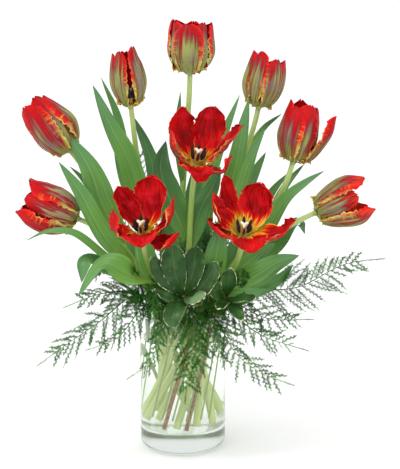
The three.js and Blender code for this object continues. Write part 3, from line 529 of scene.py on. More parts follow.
class Shader:
    """A material with one principled surface and short ways to add nodes to it."""

    def __init__(self, name: str) -> None:
        """Makes the material with its principled surface.

        Args:
            name: The material's name.
        """
        self.material = bpy.data.materials.new(name)
        self.material.use_nodes = True
        self.tree = self.material.node_tree
        self.surface = self.tree.nodes["Principled BSDF"]
        self.output = self.tree.nodes["Material Output"]

    def node(
        self, kind: str, inputs: dict[int | str, Input | Colour] | None = None, **settings: str
    ) -> bpy.types.Node:
        """Adds a node.

        Args:
            kind: Its type.
            inputs: What feeds its inputs, by their numbers or names.
            settings: Its properties, by their names.

        Returns:
            The node.
        """
        made = self.tree.nodes.new(kind)
        for key, value in settings.items():
            setattr(made, key, value)
        for key, value in (inputs or {}).items():
            self.feed(made.inputs[key], value)
        return made

    def feed(self, socket: Socket, value: Input | Colour) -> None:
        """Links a socket to another one, or sets its value.

        Args:
            socket: The socket to feed.
            value: What feeds it.
        """
        if isinstance(value, bpy.types.NodeSocket):
            self.tree.links.new(value, socket)
        else:
            socket.default_value = value

    def set(self, **values: Input | Colour) -> None:
        """Feeds the principled surface's sockets, named with underscores for spaces."""
        for key, value in values.items():
            self.feed(self.surface.inputs[key.replace("_", " ")], value)

    def math(self, operation: str, a: Input, b: Input = 0.0) -> Socket:
        """What an operation makes of one or two numbers."""
        return self.node("ShaderNodeMath", {0: a, 1: b}, operation=operation).outputs[0]

    def plus(self, *terms: Input) -> Socket:
        """The sum of two or more terms."""
        return reduce(lambda a, b: self.math("ADD", a, b), terms)

    def times(self, *factors: Input) -> Socket:
        """The product of two or more factors."""
        return reduce(lambda a, b: self.math("MULTIPLY", a, b), factors)

    def swing(self, noise: Input, width: float) -> Socket:
        """Noise between 0 and 1, made into one about 0 that is as wide as width."""
        return self.times(self.plus(noise, -0.5), width)

    def between(self, x: Input, low: float, high: float, top: float = 1.0) -> Socket:
        """Goes smoothly from 0 to a top value.

        Args:
            x: What it depends on.
            low: Where x gives 0.
            high: Where x gives the top value; it may lie below low.
            top: The top value.

        Returns:
            The result.
        """
        first, last = (0.0, top) if low < high else (top, 0.0)
        limits = {"From Min": min(low, high), "From Max": max(low, high)}
        inputs = {"Value": x, **limits, "To Min": first, "To Max": last}
        return self.node("ShaderNodeMapRange", inputs, interpolation_type="SMOOTHSTEP").outputs[0]

    def mix(self, share: Input, a: Socket | Colour, b: Socket | Colour) -> Socket:
        """Two colours mixed, with a share of the second one."""
        return self.node("ShaderNodeMix", {0: share, 6: a, 7: b}, data_type="RGBA").outputs[2]

    def ramp(self, share: Input, stops: Sequence[tuple[float, str]]) -> Socket:
        """Reads a colour from a row of stops.

        Args:
            share: Where in the row to read.
            stops: The place and the screen colour of each stop.

        Returns:
            The colour there.
        """
        made = self.node("ShaderNodeValToRGB", {0: share})
        row = made.color_ramp.elements
        row[0].position, row[0].color = stops[0][0], srgb(stops[0][1])
        row[1].position, row[1].color = stops[-1][0], srgb(stops[-1][1])
        for place, code in stops[1:-1]:
            row.new(place).color = srgb(code)
        return made.outputs[0]

    def noise(self, where: Socket, scale: float, detail: float = 3.0) -> Socket:
        """Cloudy noise from 0 to 1, finer with a greater scale."""
        inputs = {"Vector": where, "Scale": scale, "Detail": detail}
        return self.node("ShaderNodeTexNoise", inputs).outputs[0]

    def sheet_place(self) -> tuple[Socket, Socket]:
        """Where a point is on its petal, leaf or stem.

        Returns:
            How far it is from root to tip, and across from one margin to the other.
        """
        place = self.node("ShaderNodeUVMap", uv_map="UVMap").outputs[0]
        apart = self.node("ShaderNodeSeparateXYZ", {0: place})
        return apart.outputs[0], apart.outputs[1]

    def from_middle(self, across: Socket) -> Socket:
        """How far a point is from the middle line, from 0 there to 1 at a margin."""
        return self.math("ABSOLUTE", self.plus(self.times(across, 2.0), -1.0))

    def object_place(self) -> Socket:
        """Where a point is in the arrangement, in metres."""
        return self.node("ShaderNodeTexCoord").outputs["Object"]

    def coordinate(self, axis: int) -> Socket:
        """A point's x, y or z in metres, by its number from 0 to 2."""
        return self.node("ShaderNodeSeparateXYZ", {0: self.object_place()}).outputs[axis]

    def streaks(self, along: Socket, across: Socket, lengthwise: float, count: float) -> Socket:
        """Noise drawn out from root to tip, which differs from piece to piece.

        Args:
            along: How far a point is from root to tip.
            across: How far it is across.
            lengthwise: How fast the streaks change towards the tip.
            count: How many lie side by side.

        Returns:
            A value from 0 to 1.
        """
        drift = self.times(self.coordinate(0), 25.0)
        place = {0: self.times(along, lengthwise), 1: self.times(across, count), 2: drift}
        return self.noise(self.node("ShaderNodeCombineXYZ", place).outputs[0], 1.0, detail=4.0)

    def bump(self, height: Socket, distance: float, strength: float = 0.5) -> None:
        """Roughens the surface by a height between 0 and 1, over a distance in metres."""
        inputs = {"Strength": strength, "Distance": distance, "Height": height}
        self.set(Normal=self.node("ShaderNodeBump", inputs).outputs[0])


class Finish:
    """The look of a surface, which each kind of finish paints in its own way."""

    def paint(self, s: Shader) -> None:
        """Adds the finish's nodes to a shader."""
        raise NotImplementedError

    def material(self, name: str) -> bpy.types.Material:
        """Makes a material with this finish.

        Args:
            name: The material's name.

        Returns:
            The material.
        """
        s = Shader(name)
        self.paint(s)
        return s.material


@dataclass(frozen=True)
class PetalFinish:
    """The colours of one bloom's petals.

    flame is how far the yellow runs up the inside, margin how much of it follows the
    margins, green how much of the outside is green, and purple how much painted purple
    sheen, a painted reflection, lies on the outside. The inside goes from deep and red
    over bright and orange to amber and lemon in its flames, with patches of painted pink
    sheen, a painted reflection of the sky. The outside is striped from pale and olive over
    dusky to crimson, with lengthwise lines of painted shade in its creases, is lime at its
    foot, and ends in feathers, frills and lace at its margins.
    """

    flame: float = 0.2
    margin: float = 0.5
    green: float = 0.5
    purple: float = 0.5
    deep: str = "7c0205"
    red: str = "b60508"
    bright: str = "d41012"
    orange: str = "d8400a"
    amber: str = "e8a418"
    lemon: str = "d8cc4e"
    painted_pink_sheen: str = "c81c34"
    pale: str = "8d9054"
    olive: str = "6f6a36"
    # Colour of the painted sheen on the outside, a painted reflection.
    sheen: str = "7c6468"
    dusky: str = "833a34"
    crimson: str = "920c18"
    lime: str = "8c9a48"
    feather: str = "c98a34"
    frill: tuple[str, str, str] = ("b9bd62", "cfc464", "c4622a")
    lace: str = "cfc672"

    def inside(self, name: str) -> bpy.types.Material:
        """The red inner side, with yellow flames at its foot.

        Args:
            name: The material's name.

        Returns:
            The material.
        """
        s = Shader(name)
        along, across = s.sheet_place()
        edge = s.from_middle(across)
        fine = s.streaks(along, across, lengthwise=3.0, count=60)
        cloud = s.noise(s.object_place(), scale=45.0)
        wander = s.swing(s.streaks(along, across, lengthwise=2.2, count=18), 0.6)
        foot = s.between(s.plus(along, wander), self.flame + 0.14, self.flame - 0.12)
        rim = s.between(s.plus(edge, wander), 0.84, 1.06, top=self.margin)
        rim = s.times(rim, s.between(along, 0.95, 0.55))
        heat = s.times(s.math("MAXIMUM", foot, rim), 0.72)
        shade = s.plus(s.between(cloud, 0.3, 0.7, top=0.16), s.between(fine, 0.3, 0.7, top=0.16))
        stops = [(0.08, self.deep), (0.2, self.red), (0.32, self.bright)]
        stops += [(0.5, self.orange), (0.7, self.amber), (0.95, self.lemon)]
        colour = s.ramp(s.plus(heat, shade, 0.02), stops)
        # Painted pink sheen: pink patches from noise stand in for the sky's reflection on the inside.
        patches = s.between(s.noise(s.object_place(), scale=90.0), 0.52, 0.7, top=0.45)
        colour = s.mix(patches, colour, srgb(self.painted_pink_sheen))
        s.set(Base_Color=colour, Roughness=0.34, Specular_IOR_Level=0.07)
        s.bump(fine, distance=0.0009, strength=0.8)
        return s.material

    def outside(self, name: str) -> bpy.types.Material:
        """The outer side: olive and dusky red stripes, frilled yellow-green margins.

        Args:
            name: The material's name.

        Returns:
            The material.
        """
        s = Shader(name)
        along, across = s.sheet_place()
        edge = s.from_middle(across)
        wide = s.streaks(along, across, lengthwise=1.1, count=8)
        thin = s.streaks(along, across, lengthwise=2.6, count=30)
        cross = s.streaks(across, along, lengthwise=2.5, count=26)
        cloud = s.noise(s.object_place(), scale=60.0)
        # Painted shade: lengthwise lines that shift the stripes' colour, partly stripes and partly shade
        # painted into the creases.
        crease_shade_bands = s.math("SINE", s.plus(s.times(edge, 17.0), s.times(wide, 4.0)))
        value = s.plus(wide, s.swing(thin, 0.5), s.times(edge, 0.2), s.times(crease_shade_bands, 0.06))
        value = s.plus(value, s.between(along, 0.55, 1.0, top=0.3), -0.3 * (self.green - 0.5))
        stops = [(0.4, self.pale), (0.5, self.olive), (0.56, self.dusky)]
        stops += [(0.66, self.crimson), (0.82, self.red)]
        body = s.ramp(value, stops)
        # Painted sheen: purple-grey patches from noise, on the green and olive parts, stand in for a
        # reflection.
        painted_sheen_mask = s.times(s.between(cloud, 0.42, 0.68, top=self.purple), s.between(value, 0.7, 0.5))
        body = s.mix(painted_sheen_mask, body, srgb(self.sheen))
        uneven = s.plus(edge, s.swing(wide, 0.5))
        upper = s.times(s.between(uneven, 0.72, 0.9), s.between(along, 0.35, 0.6))
        body = s.mix(upper, body, srgb(self.bright))
        low = s.between(s.plus(along, s.times(thin, 0.5)), 0.56, 0.3, top=0.85)
        body = s.mix(low, body, srgb(self.lime))
        feather = s.times(s.between(cross, 0.5, 0.62), s.between(uneven, 0.5, 0.8))
        feather = s.times(feather, s.between(along, 0.92, 0.6, top=0.75))
        body = s.mix(feather, body, srgb(self.feather))
        skirt = s.times(s.between(uneven, 0.66, 0.86), s.between(along, 0.55, 0.3))
        body = s.mix(skirt, body, s.ramp(cross, list(zip((0.4, 0.52, 0.62), self.frill))))
        lace = s.times(s.between(edge, 0.93, 0.99), s.between(along, 0.9, 0.6))
        lace = s.times(lace, s.between(cloud, 0.4, 0.5))
        body = s.mix(lace, body, srgb(self.lace))
        s.set(Base_Color=body, Roughness=0.45, Specular_IOR_Level=0.12)
        s.bump(thin, distance=0.0011, strength=0.9)
        return s.material


@dataclass(frozen=True)
class LeafFinish(Finish):
    """A tulip leaf: bright at its foot, bluish towards its tip, with long veins."""

    foot: str = "8cb444"
    middle: str = "66993c"
    tip: str = "4e7f4c"
    bloom: str = "93b48a"
    vein: str = "3f6e2f"
    midrib: str = "9dbb74"

    def paint(self, s: Shader) -> None:
        """Paints the leaf.

        Args:
            s: The shader that gets the nodes.
        """
        along, across = s.sheet_place()
        veins = s.streaks(along, across, lengthwise=0.9, count=30)
        broad = s.streaks(along, across, lengthwise=0.8, count=6)
        place = s.plus(along, s.swing(s.noise(s.object_place(), scale=22.0), 0.7))
        colour = s.ramp(place, [(0.05, self.foot), (0.45, self.middle), (0.95, self.tip)])
        colour = s.mix(s.between(broad, 0.5, 0.75, top=0.3), colour, srgb(self.bloom))
        colour = s.mix(s.between(veins, 0.42, 0.6, top=0.35), colour, srgb(self.vein))
        midrib = s.between(s.from_middle(across), 0.07, 0.0, top=0.35)
        colour = s.mix(midrib, colour, srgb(self.midrib))
        s.set(Base_Color=colour, Roughness=0.42, Specular_IOR_Level=0.35)
        s.bump(veins, distance=0.0004, strength=0.6)


@dataclass(frozen=True)
class StemFinish(Finish):
    """A stem or a fern's rib: green, paler at its upper end and below the water.

    water_line is the height in metres above which the paler colour under water fades away,
    over the length fade. Below it the stem is painted paler, partly its own colour and
    partly painted light that makes up for the light lost in the glass and water.
    """

    green: str = "8fae50"
    neck: str = "b3c27c"
    soaked_painted_light: str = "e3ee98"
    line: str = "6f9040"
    water_line: float = 0.12
    fade: float = 0.055

    def paint(self, s: Shader) -> None:
        """Paints the stem.

        Args:
            s: The shader that gets the nodes.
        """
        along, across = s.sheet_place()
        lines = s.streaks(along, across, lengthwise=3.0, count=9)
        colour = s.mix(s.between(along, 0.8, 1.0), srgb(self.green), srgb(self.neck))
        # Painted light: under the water the stem is painted paler, partly its own colour and partly light
        # that makes up for what the glass and water hold back.
        wet_and_lit_share = s.between(s.coordinate(2), self.water_line + self.fade, self.water_line)
        colour = s.mix(wet_and_lit_share, colour, srgb(self.soaked_painted_light))
        colour = s.mix(s.between(lines, 0.45, 0.7, top=0.3), colour, srgb(self.line))
        s.set(Base_Color=colour, Roughness=0.45, Specular_IOR_Level=0.45)
        s.bump(lines, distance=0.0003, strength=0.4)


@dataclass(frozen=True)
class SpeckledFinish(Finish):
    """A plain organic surface with cloudy colour: pistil, anther, bark or fern."""

    dark: str
    light: str
    scale: float = 300.0
    roughness: float = 0.7
    relief: float = 0.0003
    gloss: float = 0.35

    def paint(self, s: Shader) -> None:
        """Paints the surface.

        Args:
            s: The shader that gets the nodes.
        """
        cloud = s.noise(s.object_place(), self.scale, detail=4.0)
        colour = s.mix(s.between(cloud, 0.3, 0.7), srgb(self.dark), srgb(self.light))
        s.set(Base_Color=colour, Roughness=self.roughness, Specular_IOR_Level=self.gloss)
        s.bump(cloud, self.relief)


@dataclass(frozen=True)
class VariegatedFinish(Finish):
    """A pittosporum leaf: mottled green with a pale midrib and an uneven cream margin."""

    green: str = "244818"
    mottle: str = "365c2a"
    cream: str = "cfd3a4"
    midrib: str = "6f8a58"

    def paint(self, s: Shader) -> None:
        """Paints the leaf.

        Args:
            s: The shader that gets the nodes.
        """
        along, across = s.sheet_place()
        edge = s.from_middle(across)
        cloud = s.noise(s.object_place(), scale=160.0)
        patches = s.noise(s.object_place(), scale=70.0, detail=2.0)
        green = s.mix(s.between(patches, 0.42, 0.6), srgb(self.green), srgb(self.mottle))
        green = s.mix(s.between(edge, 0.04, 0.0, top=0.45), green, srgb(self.midrib))
        rim = s.between(s.plus(edge, s.swing(cloud, 0.5)), 0.98, 1.03)
        end = s.between(s.plus(along, s.swing(cloud, 0.15)), 0.98, 1.0)
        colour = s.mix(s.math("MAXIMUM", rim, end), green, srgb(self.cream))
        s.set(Base_Color=colour, Roughness=0.36, Specular_IOR_Level=0.25)
        s.bump(cloud, distance=0.0004, strength=0.4)


@dataclass(frozen=True)
class ClearFinish(Finish):
    """Glass or water that lets lamps through without a black shadow.

    tint colours what is seen through it, bend is how strongly it bends light, and shadow
    is the colour of the light that falls through. depth is how much light it takes up for
    each metre on the way, all but the colour body. ground is how rough it is near the
    floor, up to the height ground_height in metres and fading over ground_fade.
    """

    tint: str
    bend: float
    shadow: str
    depth: float = 0.0
    body: str = "96a39c"
    ground: float = 0.0
    ground_height: float = 0.005
    ground_fade: float = 0.001

    def paint(self, s: Shader) -> None:
        """Clears the surface.

        Args:
            s: The shader that gets the nodes.
        """
        fade_end = self.ground_height + self.ground_fade
        rough = s.between(s.coordinate(2), fade_end, self.ground_height, top=self.ground)
        s.set(Base_Color=srgb(self.tint), Transmission_Weight=1.0, IOR=self.bend, Roughness=rough)
        through = s.node("ShaderNodeBsdfTransparent", {0: srgb(self.shadow)})
        path = s.node("ShaderNodeLightPath")
        soft = s.math("MAXIMUM", path.outputs["Is Shadow Ray"], path.outputs["Is Diffuse Ray"])
        inputs = {0: soft, 1: s.surface.outputs[0], 2: through.outputs[0]}
        s.feed(s.output.inputs["Surface"], s.node("ShaderNodeMixShader", inputs).outputs[0])
        if self.depth:
            inputs = {"Color": srgb(self.body), "Density": self.depth}
            volume = s.node("ShaderNodeVolumeAbsorption", inputs)
            s.feed(s.output.inputs["Volume"], volume.outputs[0])


@dataclass(frozen=True)
class FloorFinish(Finish):
    """A plain pale floor."""

    colour: str = "ffffff"

    def paint(self, s: Shader) -> None:
        """Paints the floor."""
        s.set(Base_Color=srgb(self.colour), Roughness=1.0, Specular_IOR_Level=0.0)


# -------------------- vase and water


def arc(centre: tuple[float, float], radius: float, start: float, stop: float, count: int) -> Array:
    """Points of a circle's arc.

    Args:
        centre: Its centre.
        radius: Its radius.
        start: First angle in degrees.
        stop: Last angle in degrees.
        count: Number of points.

    Returns:
        The points, count by 2.
    """
    angle = np.radians(np.linspace(start, stop, count))
    return np.array(centre) + radius * np.stack([np.cos(angle), np.sin(angle)], axis=-1)


def braced(profile: Array, gap: float = 0.3, long: float = 2.0) -> Array:
    """Adds points near the ends of a profile's long straights, so that they shade flat.

    Args:
        profile: Radius and height of each point.
        gap: How far from an end a point is added.
        long: The length above which a straight gets its two points.

    Returns:
        The profile with its added points.
    """
    points = [profile[0]]
    for start, end in zip(profile[:-1], profile[1:]):
        step = end - start
        length = np.linalg.norm(step)
        if length > long:
            share = gap / length
            points += [start + share * step, end - share * step]
        points.append(end)
    return np.array(points)


@dataclass
class Vase:
    """The clear glass cylinder with its heavy base, and the water in it.

    floor is the thickness of the base, heel the rounding of its outer edge and
    inner_heel that of the hollow. The water reaches into the glass by overlap, so that
    no film of air shows between them, and creeps up the wall by meniscus over creep.
    """

    radius: float = 51
    height: float = 164
    wall: float = 4
    floor: float = 27
    heel: float = 9
    inner_heel: float = 0.6
    water_level: float = 133
    overlap: float = 0.06
    meniscus: float = 1.2
    creep: float = 4
    segments: int = 160
    glass: ClearFinish = ClearFinish("fafdfb", bend=1.46, shadow="e7ebe9", depth=3.2, ground=0.26)
    water: ClearFinish = ClearFinish("fdfffb", bend=1.33, shadow="fdfefc")

    def build_glass(self) -> None:
        """Turns the glass and dresses it."""
        inner, lip = self.radius - self.wall, self.wall / 2
        foot = arc((self.radius - self.heel, self.heel), self.heel, -90, 0, count=14)
        rim = arc((self.radius - lip, self.height - lip), lip, 0, 180, count=13)
        rounding = (inner - self.inner_heel, self.floor + self.inner_heel)
        bottom = arc(rounding, self.inner_heel, 0, -90, count=12)
        profile = np.vstack([[[0, 0]], foot, rim, bottom, [[0, self.floor]]])
        builder = MeshBuilder()
        builder.lathe(braced(profile), self.segments)
        piece = builder.build("vase_glass", [self.glass.material("clear glass")])
        settle(piece, Slot.GLASS, "vase")

    def build_water(self) -> None:
        """Turns the water and dresses it."""
        edge, low = self.radius - self.wall + self.overlap, self.floor - self.overlap
        rounding = (edge - self.inner_heel, low + self.inner_heel)
        foot = arc(rounding, self.inner_heel, -90, 0, count=12)
        inwards = np.linspace(0, 1, 8)[:, None]
        rise = self.meniscus * (1 - inwards) ** 3
        top = np.hstack([edge - self.creep * inwards, self.water_level + rise])
        profile = np.vstack([[[0, low]], foot, top, [[0, self.water_level]]])
        builder = MeshBuilder()
        builder.lathe(braced(profile), self.segments)
        piece = builder.build("vase_water", [self.water.material("still water")])
        settle(piece, Slot.WATER, "water")


# -------------------- tulips


@dataclass(frozen=True)
class Leaf:
    """A tulip leaf, from its height on the stem through points to its tip."""

    start: float
    through: tuple[Point, ...]
    width: float
    face: Point = FRONT


@dataclass(frozen=True)
class Petal:
    """A petal of an open bloom: points from the foot of the bloom, and its width."""

    through: tuple[Point, ...]
    width: float


@dataclass(frozen=True)
class CupPetal:
    """A petal of an uneven closed bloom.

    angle is its place round the bloom in degrees, wide its width as a share of an
    outer petal's, and run the radius and height of its belly, neck and tip, as shares
    of the bloom's girth and reach.
    """

    angle: float
    wide: float
    run: tuple[tuple[float, float], ...]


PETAL_THICKNESS = 0.8
LEAF_THICKNESS = 1.0

# The radius and height on the bloom where outer and inner petals start, and the least
# half width of their feet.
FOOT_OUTER = (2.8, 1.0)
FOOT_INNER = (2.2, 2.9)
FOOT_HALF = 1.3

# Heights of an even petal's belly, neck and tip, as shares of the bloom's reach.
CUP_HEIGHTS = (0.38, 0.72, 0.97)

# Heights on the bloom's axis and radii there: the receptacle, and the pistil on top of it.
RECEPTACLE_HEIGHTS = (0, 2, 4.2)
RECEPTACLE_RADII = (3.4, 4.6, 2.6)
PISTIL_HEIGHTS = (0.3, 2, 6, 10, 13.5, 15)
PISTIL_RADII = (2.6, 3.0, 2.9, 2.5, 2.2, 2.0)

# Radius and height of the points that a lobe of the stigma runs through, and its radii.
LOBE_RUN = ((0.4, 14), (2.2, 16.4), (4.0, 16.8), (4.9, 15.4))
LOBE_RADII = (1.2, 1.7, 1.9, 1.9, 1.7, 1.3, 0.5)

# Radius and height of a filament's foot, of its knee and of the points that its anther
# runs through; the radii from the knee on are shares of the anthers' spread. The tips
# stand up to ANTHER_SWAY off their ring.
FILAMENT_FOOT = (1.8, 0.4)
FILAMENT_KNEE = (0.5, 6.5)
FILAMENT_RADIUS = 0.75
ANTHER_RUN = ((0.46, 5.6), (0.82, 13), (1.0, 20))
ANTHER_SWAY = 0.4
ANTHER_RADII = (0.5, 1.5, 1.9, 2.0, 2.0, 1.9, 1.7, 1.2, 0.35)


def even_draws(seed: int) -> Callable[[], float]:
    """A repeatable stream of drawn numbers, the same as the solids use.

    Args:
        seed: Where the stream starts.

    Returns:
        A function that gives the next number, between -1 and 1.
    """
    factor, step, size = 1664525, 1013904223, 2**32
    state = [seed]

    def draw() -> float:
        """The next number."""
        state[0] = (state[0] * factor + step) % size
        return 2 * state[0] / size - 1

    return draw


def petal_width(u: Array, peak: float, foot: float, blunt: float) -> Array:
    """Width of a petal as a share of its greatest: narrow foot, rounded tip.

    Args:
        u: Shares of the length from the foot.
        peak: Where the petal is widest.
        foot: Power of the rise; below 1 the petal widens sooner.
        blunt: Power of the fall; above 2 the tip is blunt.

    Returns:
        Shares from 0 to 1.
    """
    rise = np.sin(math.pi / 2 * np.minimum(u / peak, 1)) ** foot
    fall = np.sqrt(np.maximum(1 - np.clip((u - peak) / (1 - peak), 0, 1) ** blunt, 0))
    return np.where(u < peak, rise, fall)


def torn(u: Array, v: Array, outward: float, random: Draws) -> Array:
    """How far small teeth widen a petal at its margins.

    Args:
        u: Shares of the length.
        v: Places across, from -1 to 1.
        outward: How much the margins reach out between the teeth.
        random: The petal's source of drawn numbers.

    Returns:
        What is added, as shares of the width.
    """
    teeth = ripple(u + 0.53 * np.sign(v), (9, 19, 31), random)
    return np.abs(v) ** 8 * (0.10 * teeth + outward)


@dataclass
class Bloom:
    """A parrot tulip's bloom on its stem: six petals, a receptacle and the heart.

    base is where it sits on its stem, aim the way that it looks, rows and cols the grid
    of a petal, and spread the radius of the ring of its anthers' tips.
    """

    base: Point
    aim: Point
    finish: PetalFinish
    rows: int = 31
    cols: int = 22
    receptacle: SpeckledFinish = SpeckledFinish("9fb060", "bcc67c", 200, 0.5)
    filament: SpeckledFinish = SpeckledFinish("a9b85a", "e0d070", 300, 0.6)
    anther: SpeckledFinish = SpeckledFinish("1c1018", "4a3140", 1500, 0.75, 0.0005)
    pistil: SpeckledFinish = SpeckledFinish("cf9c68", "dcb680", 260, 0.5)
    stigma: SpeckledFinish = SpeckledFinish("e4dfbe", "f4f0da", 900, 0.6, 0.0005)
    spread: float = 6.5

    def frame(self) -> tuple[Array, Array, Array]:
        """The directions that the bloom is laid out in.

        Returns:
            Its axis and two directions square to it.
        """
        axis = unit(np.array(self.aim, float))
        side = flatten_onto(np.array([1.0, 0, 0]), axis)
        return axis, side, np.cross(axis, side)

    def petals(self) -> list[Blade]:
        """The petals, which each form of bloom lays out in its own way."""
        raise NotImplementedError

    def build_petals(self, name: str) -> None:
        """Builds and dresses the petals and the receptacle.

        Args:
            name: The tulip's name.
        """
        builder = MeshBuilder()
        for blade in self.petals():
            blade.add_to(builder, upper=0, under=1)
        axis, _, _ = self.frame()
        heights = np.linspace(0, RECEPTACLE_HEIGHTS[-1], 6)
        radii = np.interp(heights, RECEPTACLE_HEIGHTS, RECEPTACLE_RADII)
        builder.tube(np.array(self.base) + heights[:, None] * axis, radii, sides=16, slot=2)
        inside = self.finish.inside(f"{name} petal inside")
        outside = self.finish.outside(f"{name} petal outside")
        foot = self.receptacle.material(f"{name} receptacle")
        piece = builder.build(f"{name}_petals", [inside, outside, foot])
        settle(piece, Slot.PETAL, f"{name}_bloom")

    def build_heart(self, name: str) -> None:
        """Builds and dresses the pistil with its three-lobed stigma, and six stamens.

        Args:
            name: The tulip's name.
        """
        axis, side, depth = self.frame()
        top = np.array(self.base) + RECEPTACLE_HEIGHTS[-1] * axis

        def place(radius: float, height: float, angle: float) -> Array:
            """A point in the bloom, from the top of the receptacle."""
            out = math.cos(angle) * side + math.sin(angle) * depth
            return top + height * axis + radius * out

        builder = MeshBuilder()
        line = top + np.array(PISTIL_HEIGHTS)[:, None] * axis
        builder.tube(line, np.array(PISTIL_RADII), sides=15, slot=0)
        for k in range(3):
            angle = 2 * math.pi * k / 3 + 0.4
            lobe = Curve([place(radius, height, angle) for radius, height in LOBE_RUN])
            steps = np.linspace(0, 1, len(LOBE_RADII))
            builder.tube(lobe.at(steps), np.array(LOBE_RADII), sides=10, slot=1, squash=0.8)
        knee_radius, knee_height = FILAMENT_KNEE
        for k in range(6):
            angle = math.pi / 3 * (k + 0.5)
            knee = place(knee_radius * self.spread, knee_height, angle)
            thread = Curve([place(*FILAMENT_FOOT, angle), knee]).at(np.linspace(0, 1, 4))
            builder.tube(thread, np.full(4, FILAMENT_RADIUS), sides=7, slot=2)
            run = [(radius * self.spread, height) for radius, height in ANTHER_RUN]
            run[-1] = (run[-1][0] + ANTHER_SWAY * math.sin(2.0 * k), run[-1][1])
            pod = Curve([place(radius, height, angle) for radius, height in run])
            steps = np.linspace(0, 1, len(ANTHER_RADII))
            builder.tube(pod.at(steps), np.array(ANTHER_RADII), sides=9, slot=3, squash=0.62)
        finishes = [(self.pistil, "pistil"), (self.stigma, "stigma")]
        finishes += [(self.filament, "filament"), (self.anther, "anther")]
        dressed = [finish.material(f"{name} {part}") for finish, part in finishes]
        settle(builder.build(f"{name}_heart_fine", dressed), Slot.HEART, f"{name}_heart")


@dataclass
class ClosedBloom(Bloom):
    """A cup of three outer and three inner petals, with frilled margins.

    reach and girth are its length and greatest radius, tip the radius of its petal tips
    as a share of girth, and turn its turn round its own axis in degrees. An uneven bloom
    lists its petals in cup, outer and inner ones in turn. ruffle, frill, pleat, rib and
    skirt are the heights of the waves on a petal.
    """

    reach: float = 64
    girth: float = 24
    tip: float = 0.7
    turn: float = 0
    cup: tuple[CupPetal, ...] = ()
    ruffle: float = 1.1
    frill: float = 1.8
    pleat: float = 0.8
    rib: float = 1.0
    skirt: float = 6.0

    def petals(self) -> list[Blade]:
        """Three outer petals and three inner ones between them.

        Returns:
            Their blades.
        """
        draw = even_draws(round(self.base[0]) + 500)
        cup = self.cup or [self._even(k, draw) for k in range(6)]
        return [self._petal(k, petal) for k, petal in enumerate(cup)]

    def _even(self, k: int, draw: Callable[[], float]) -> CupPetal:
        """The place and run of a petal in an even bloom.

        Args:
            k: Its number; even ones are outer petals.
            draw: The stream of numbers for the whole bloom.

        Returns:
            The petal.
        """
        share = 1.0 if k % 2 == 0 else 0.8
        angle = self.turn + 60 * k + 5 * draw()
        length = 1 + 0.04 * draw()
        tip = self.tip * (1 + 0.12 * draw())
        run = zip((1, 0.55 + 0.45 * tip, tip), CUP_HEIGHTS)
        return CupPetal(angle, share, tuple((r * share, h * length) for r, h in run))

    def _petal(self, k: int, petal: CupPetal) -> Blade:
        """One petal.

        Args:
            k: Its number; even ones are outer petals.
            petal: Its place and run.

        Returns:
            The petal's blade.
        """
        axis, side, depth = self.frame()
        angle = math.radians(petal.angle)
        out = math.cos(angle) * side + math.sin(angle) * depth
        radius = self.girth * petal.wide
        base = np.array(self.base)
        run = ((0.62 * petal.run[0][0], 0.1), *petal.run)
        places = [FOOT_OUTER if k % 2 == 0 else FOOT_INNER]
        places += [(r * self.girth, h * self.reach) for r, h in run]
        random = stream([*self.base, k])

        def width(u: Array) -> Array:
            """Half width along the petal."""
            half = 0.78 * radius * petal_width(u, peak=0.62, foot=0.45, blunt=4.2)
            return np.maximum(half, np.where(u < 0.5, FOOT_HALF, 0.14 * radius))

        def relief(u: Array, v: Array) -> Array:
            """Ruffles, the frilled skirt at the foot, fine pleats and the midrib.

            Args:
                u: Shares of the length.
                v: Places across, from -1 to 1.

            Returns:
                Heights over the petal's plain curve.
            """
            edge, arch = np.abs(v), np.sin(math.pi * u)
            wave = edge**3 * lens(u, 0.7) * np.sin(3 * math.pi * u + 2 * k + 2 * v)
            frill = ripple(u + 0.37 * np.sign(v), (5, 9, 15), random) * edge**5
            skirt = np.exp(-(((u - 0.15) / 0.12) ** 2)) * edge**3
            skirt = skirt * (1 + 0.8 * ripple(u + 0.2 * np.sign(v), (6, 11), random))
            pleats = ripple(v + 0.15 * u, (2, 5), random) * (1 - edge**4) * arch
            rib = (np.exp(-((v / 0.13) ** 2)) + 0.5 * np.cos(7.5 * v)) * arch
            raised = self.ruffle * wave + self.frill * frill * (1 - 0.3 * u)
            return raised + self.pleat * pleats - self.rib * rib - self.skirt * skirt

        def crown(u: Array, v: Array) -> Array:
            """The raised middle of the tip and its uneven edge."""
            return 0.4 * (1 - v**2) * u**4 + 1.7 * ripple(v, (1.3, 3.2), random) * u**6

        return Blade(
            line=Curve([base + r * out + h * axis for r, h in places]),
            half_width=width,
            facing=lambda points: np.broadcast_to(-out, points.shape),
            rows=self.rows,
            cols=self.cols,
            wrap=1.1,
            thickness=PETAL_THICKNESS,
            relief=relief,
            fringe=lambda u, v: torn(u, v, 0.03, random),
            crown=crown,
        )


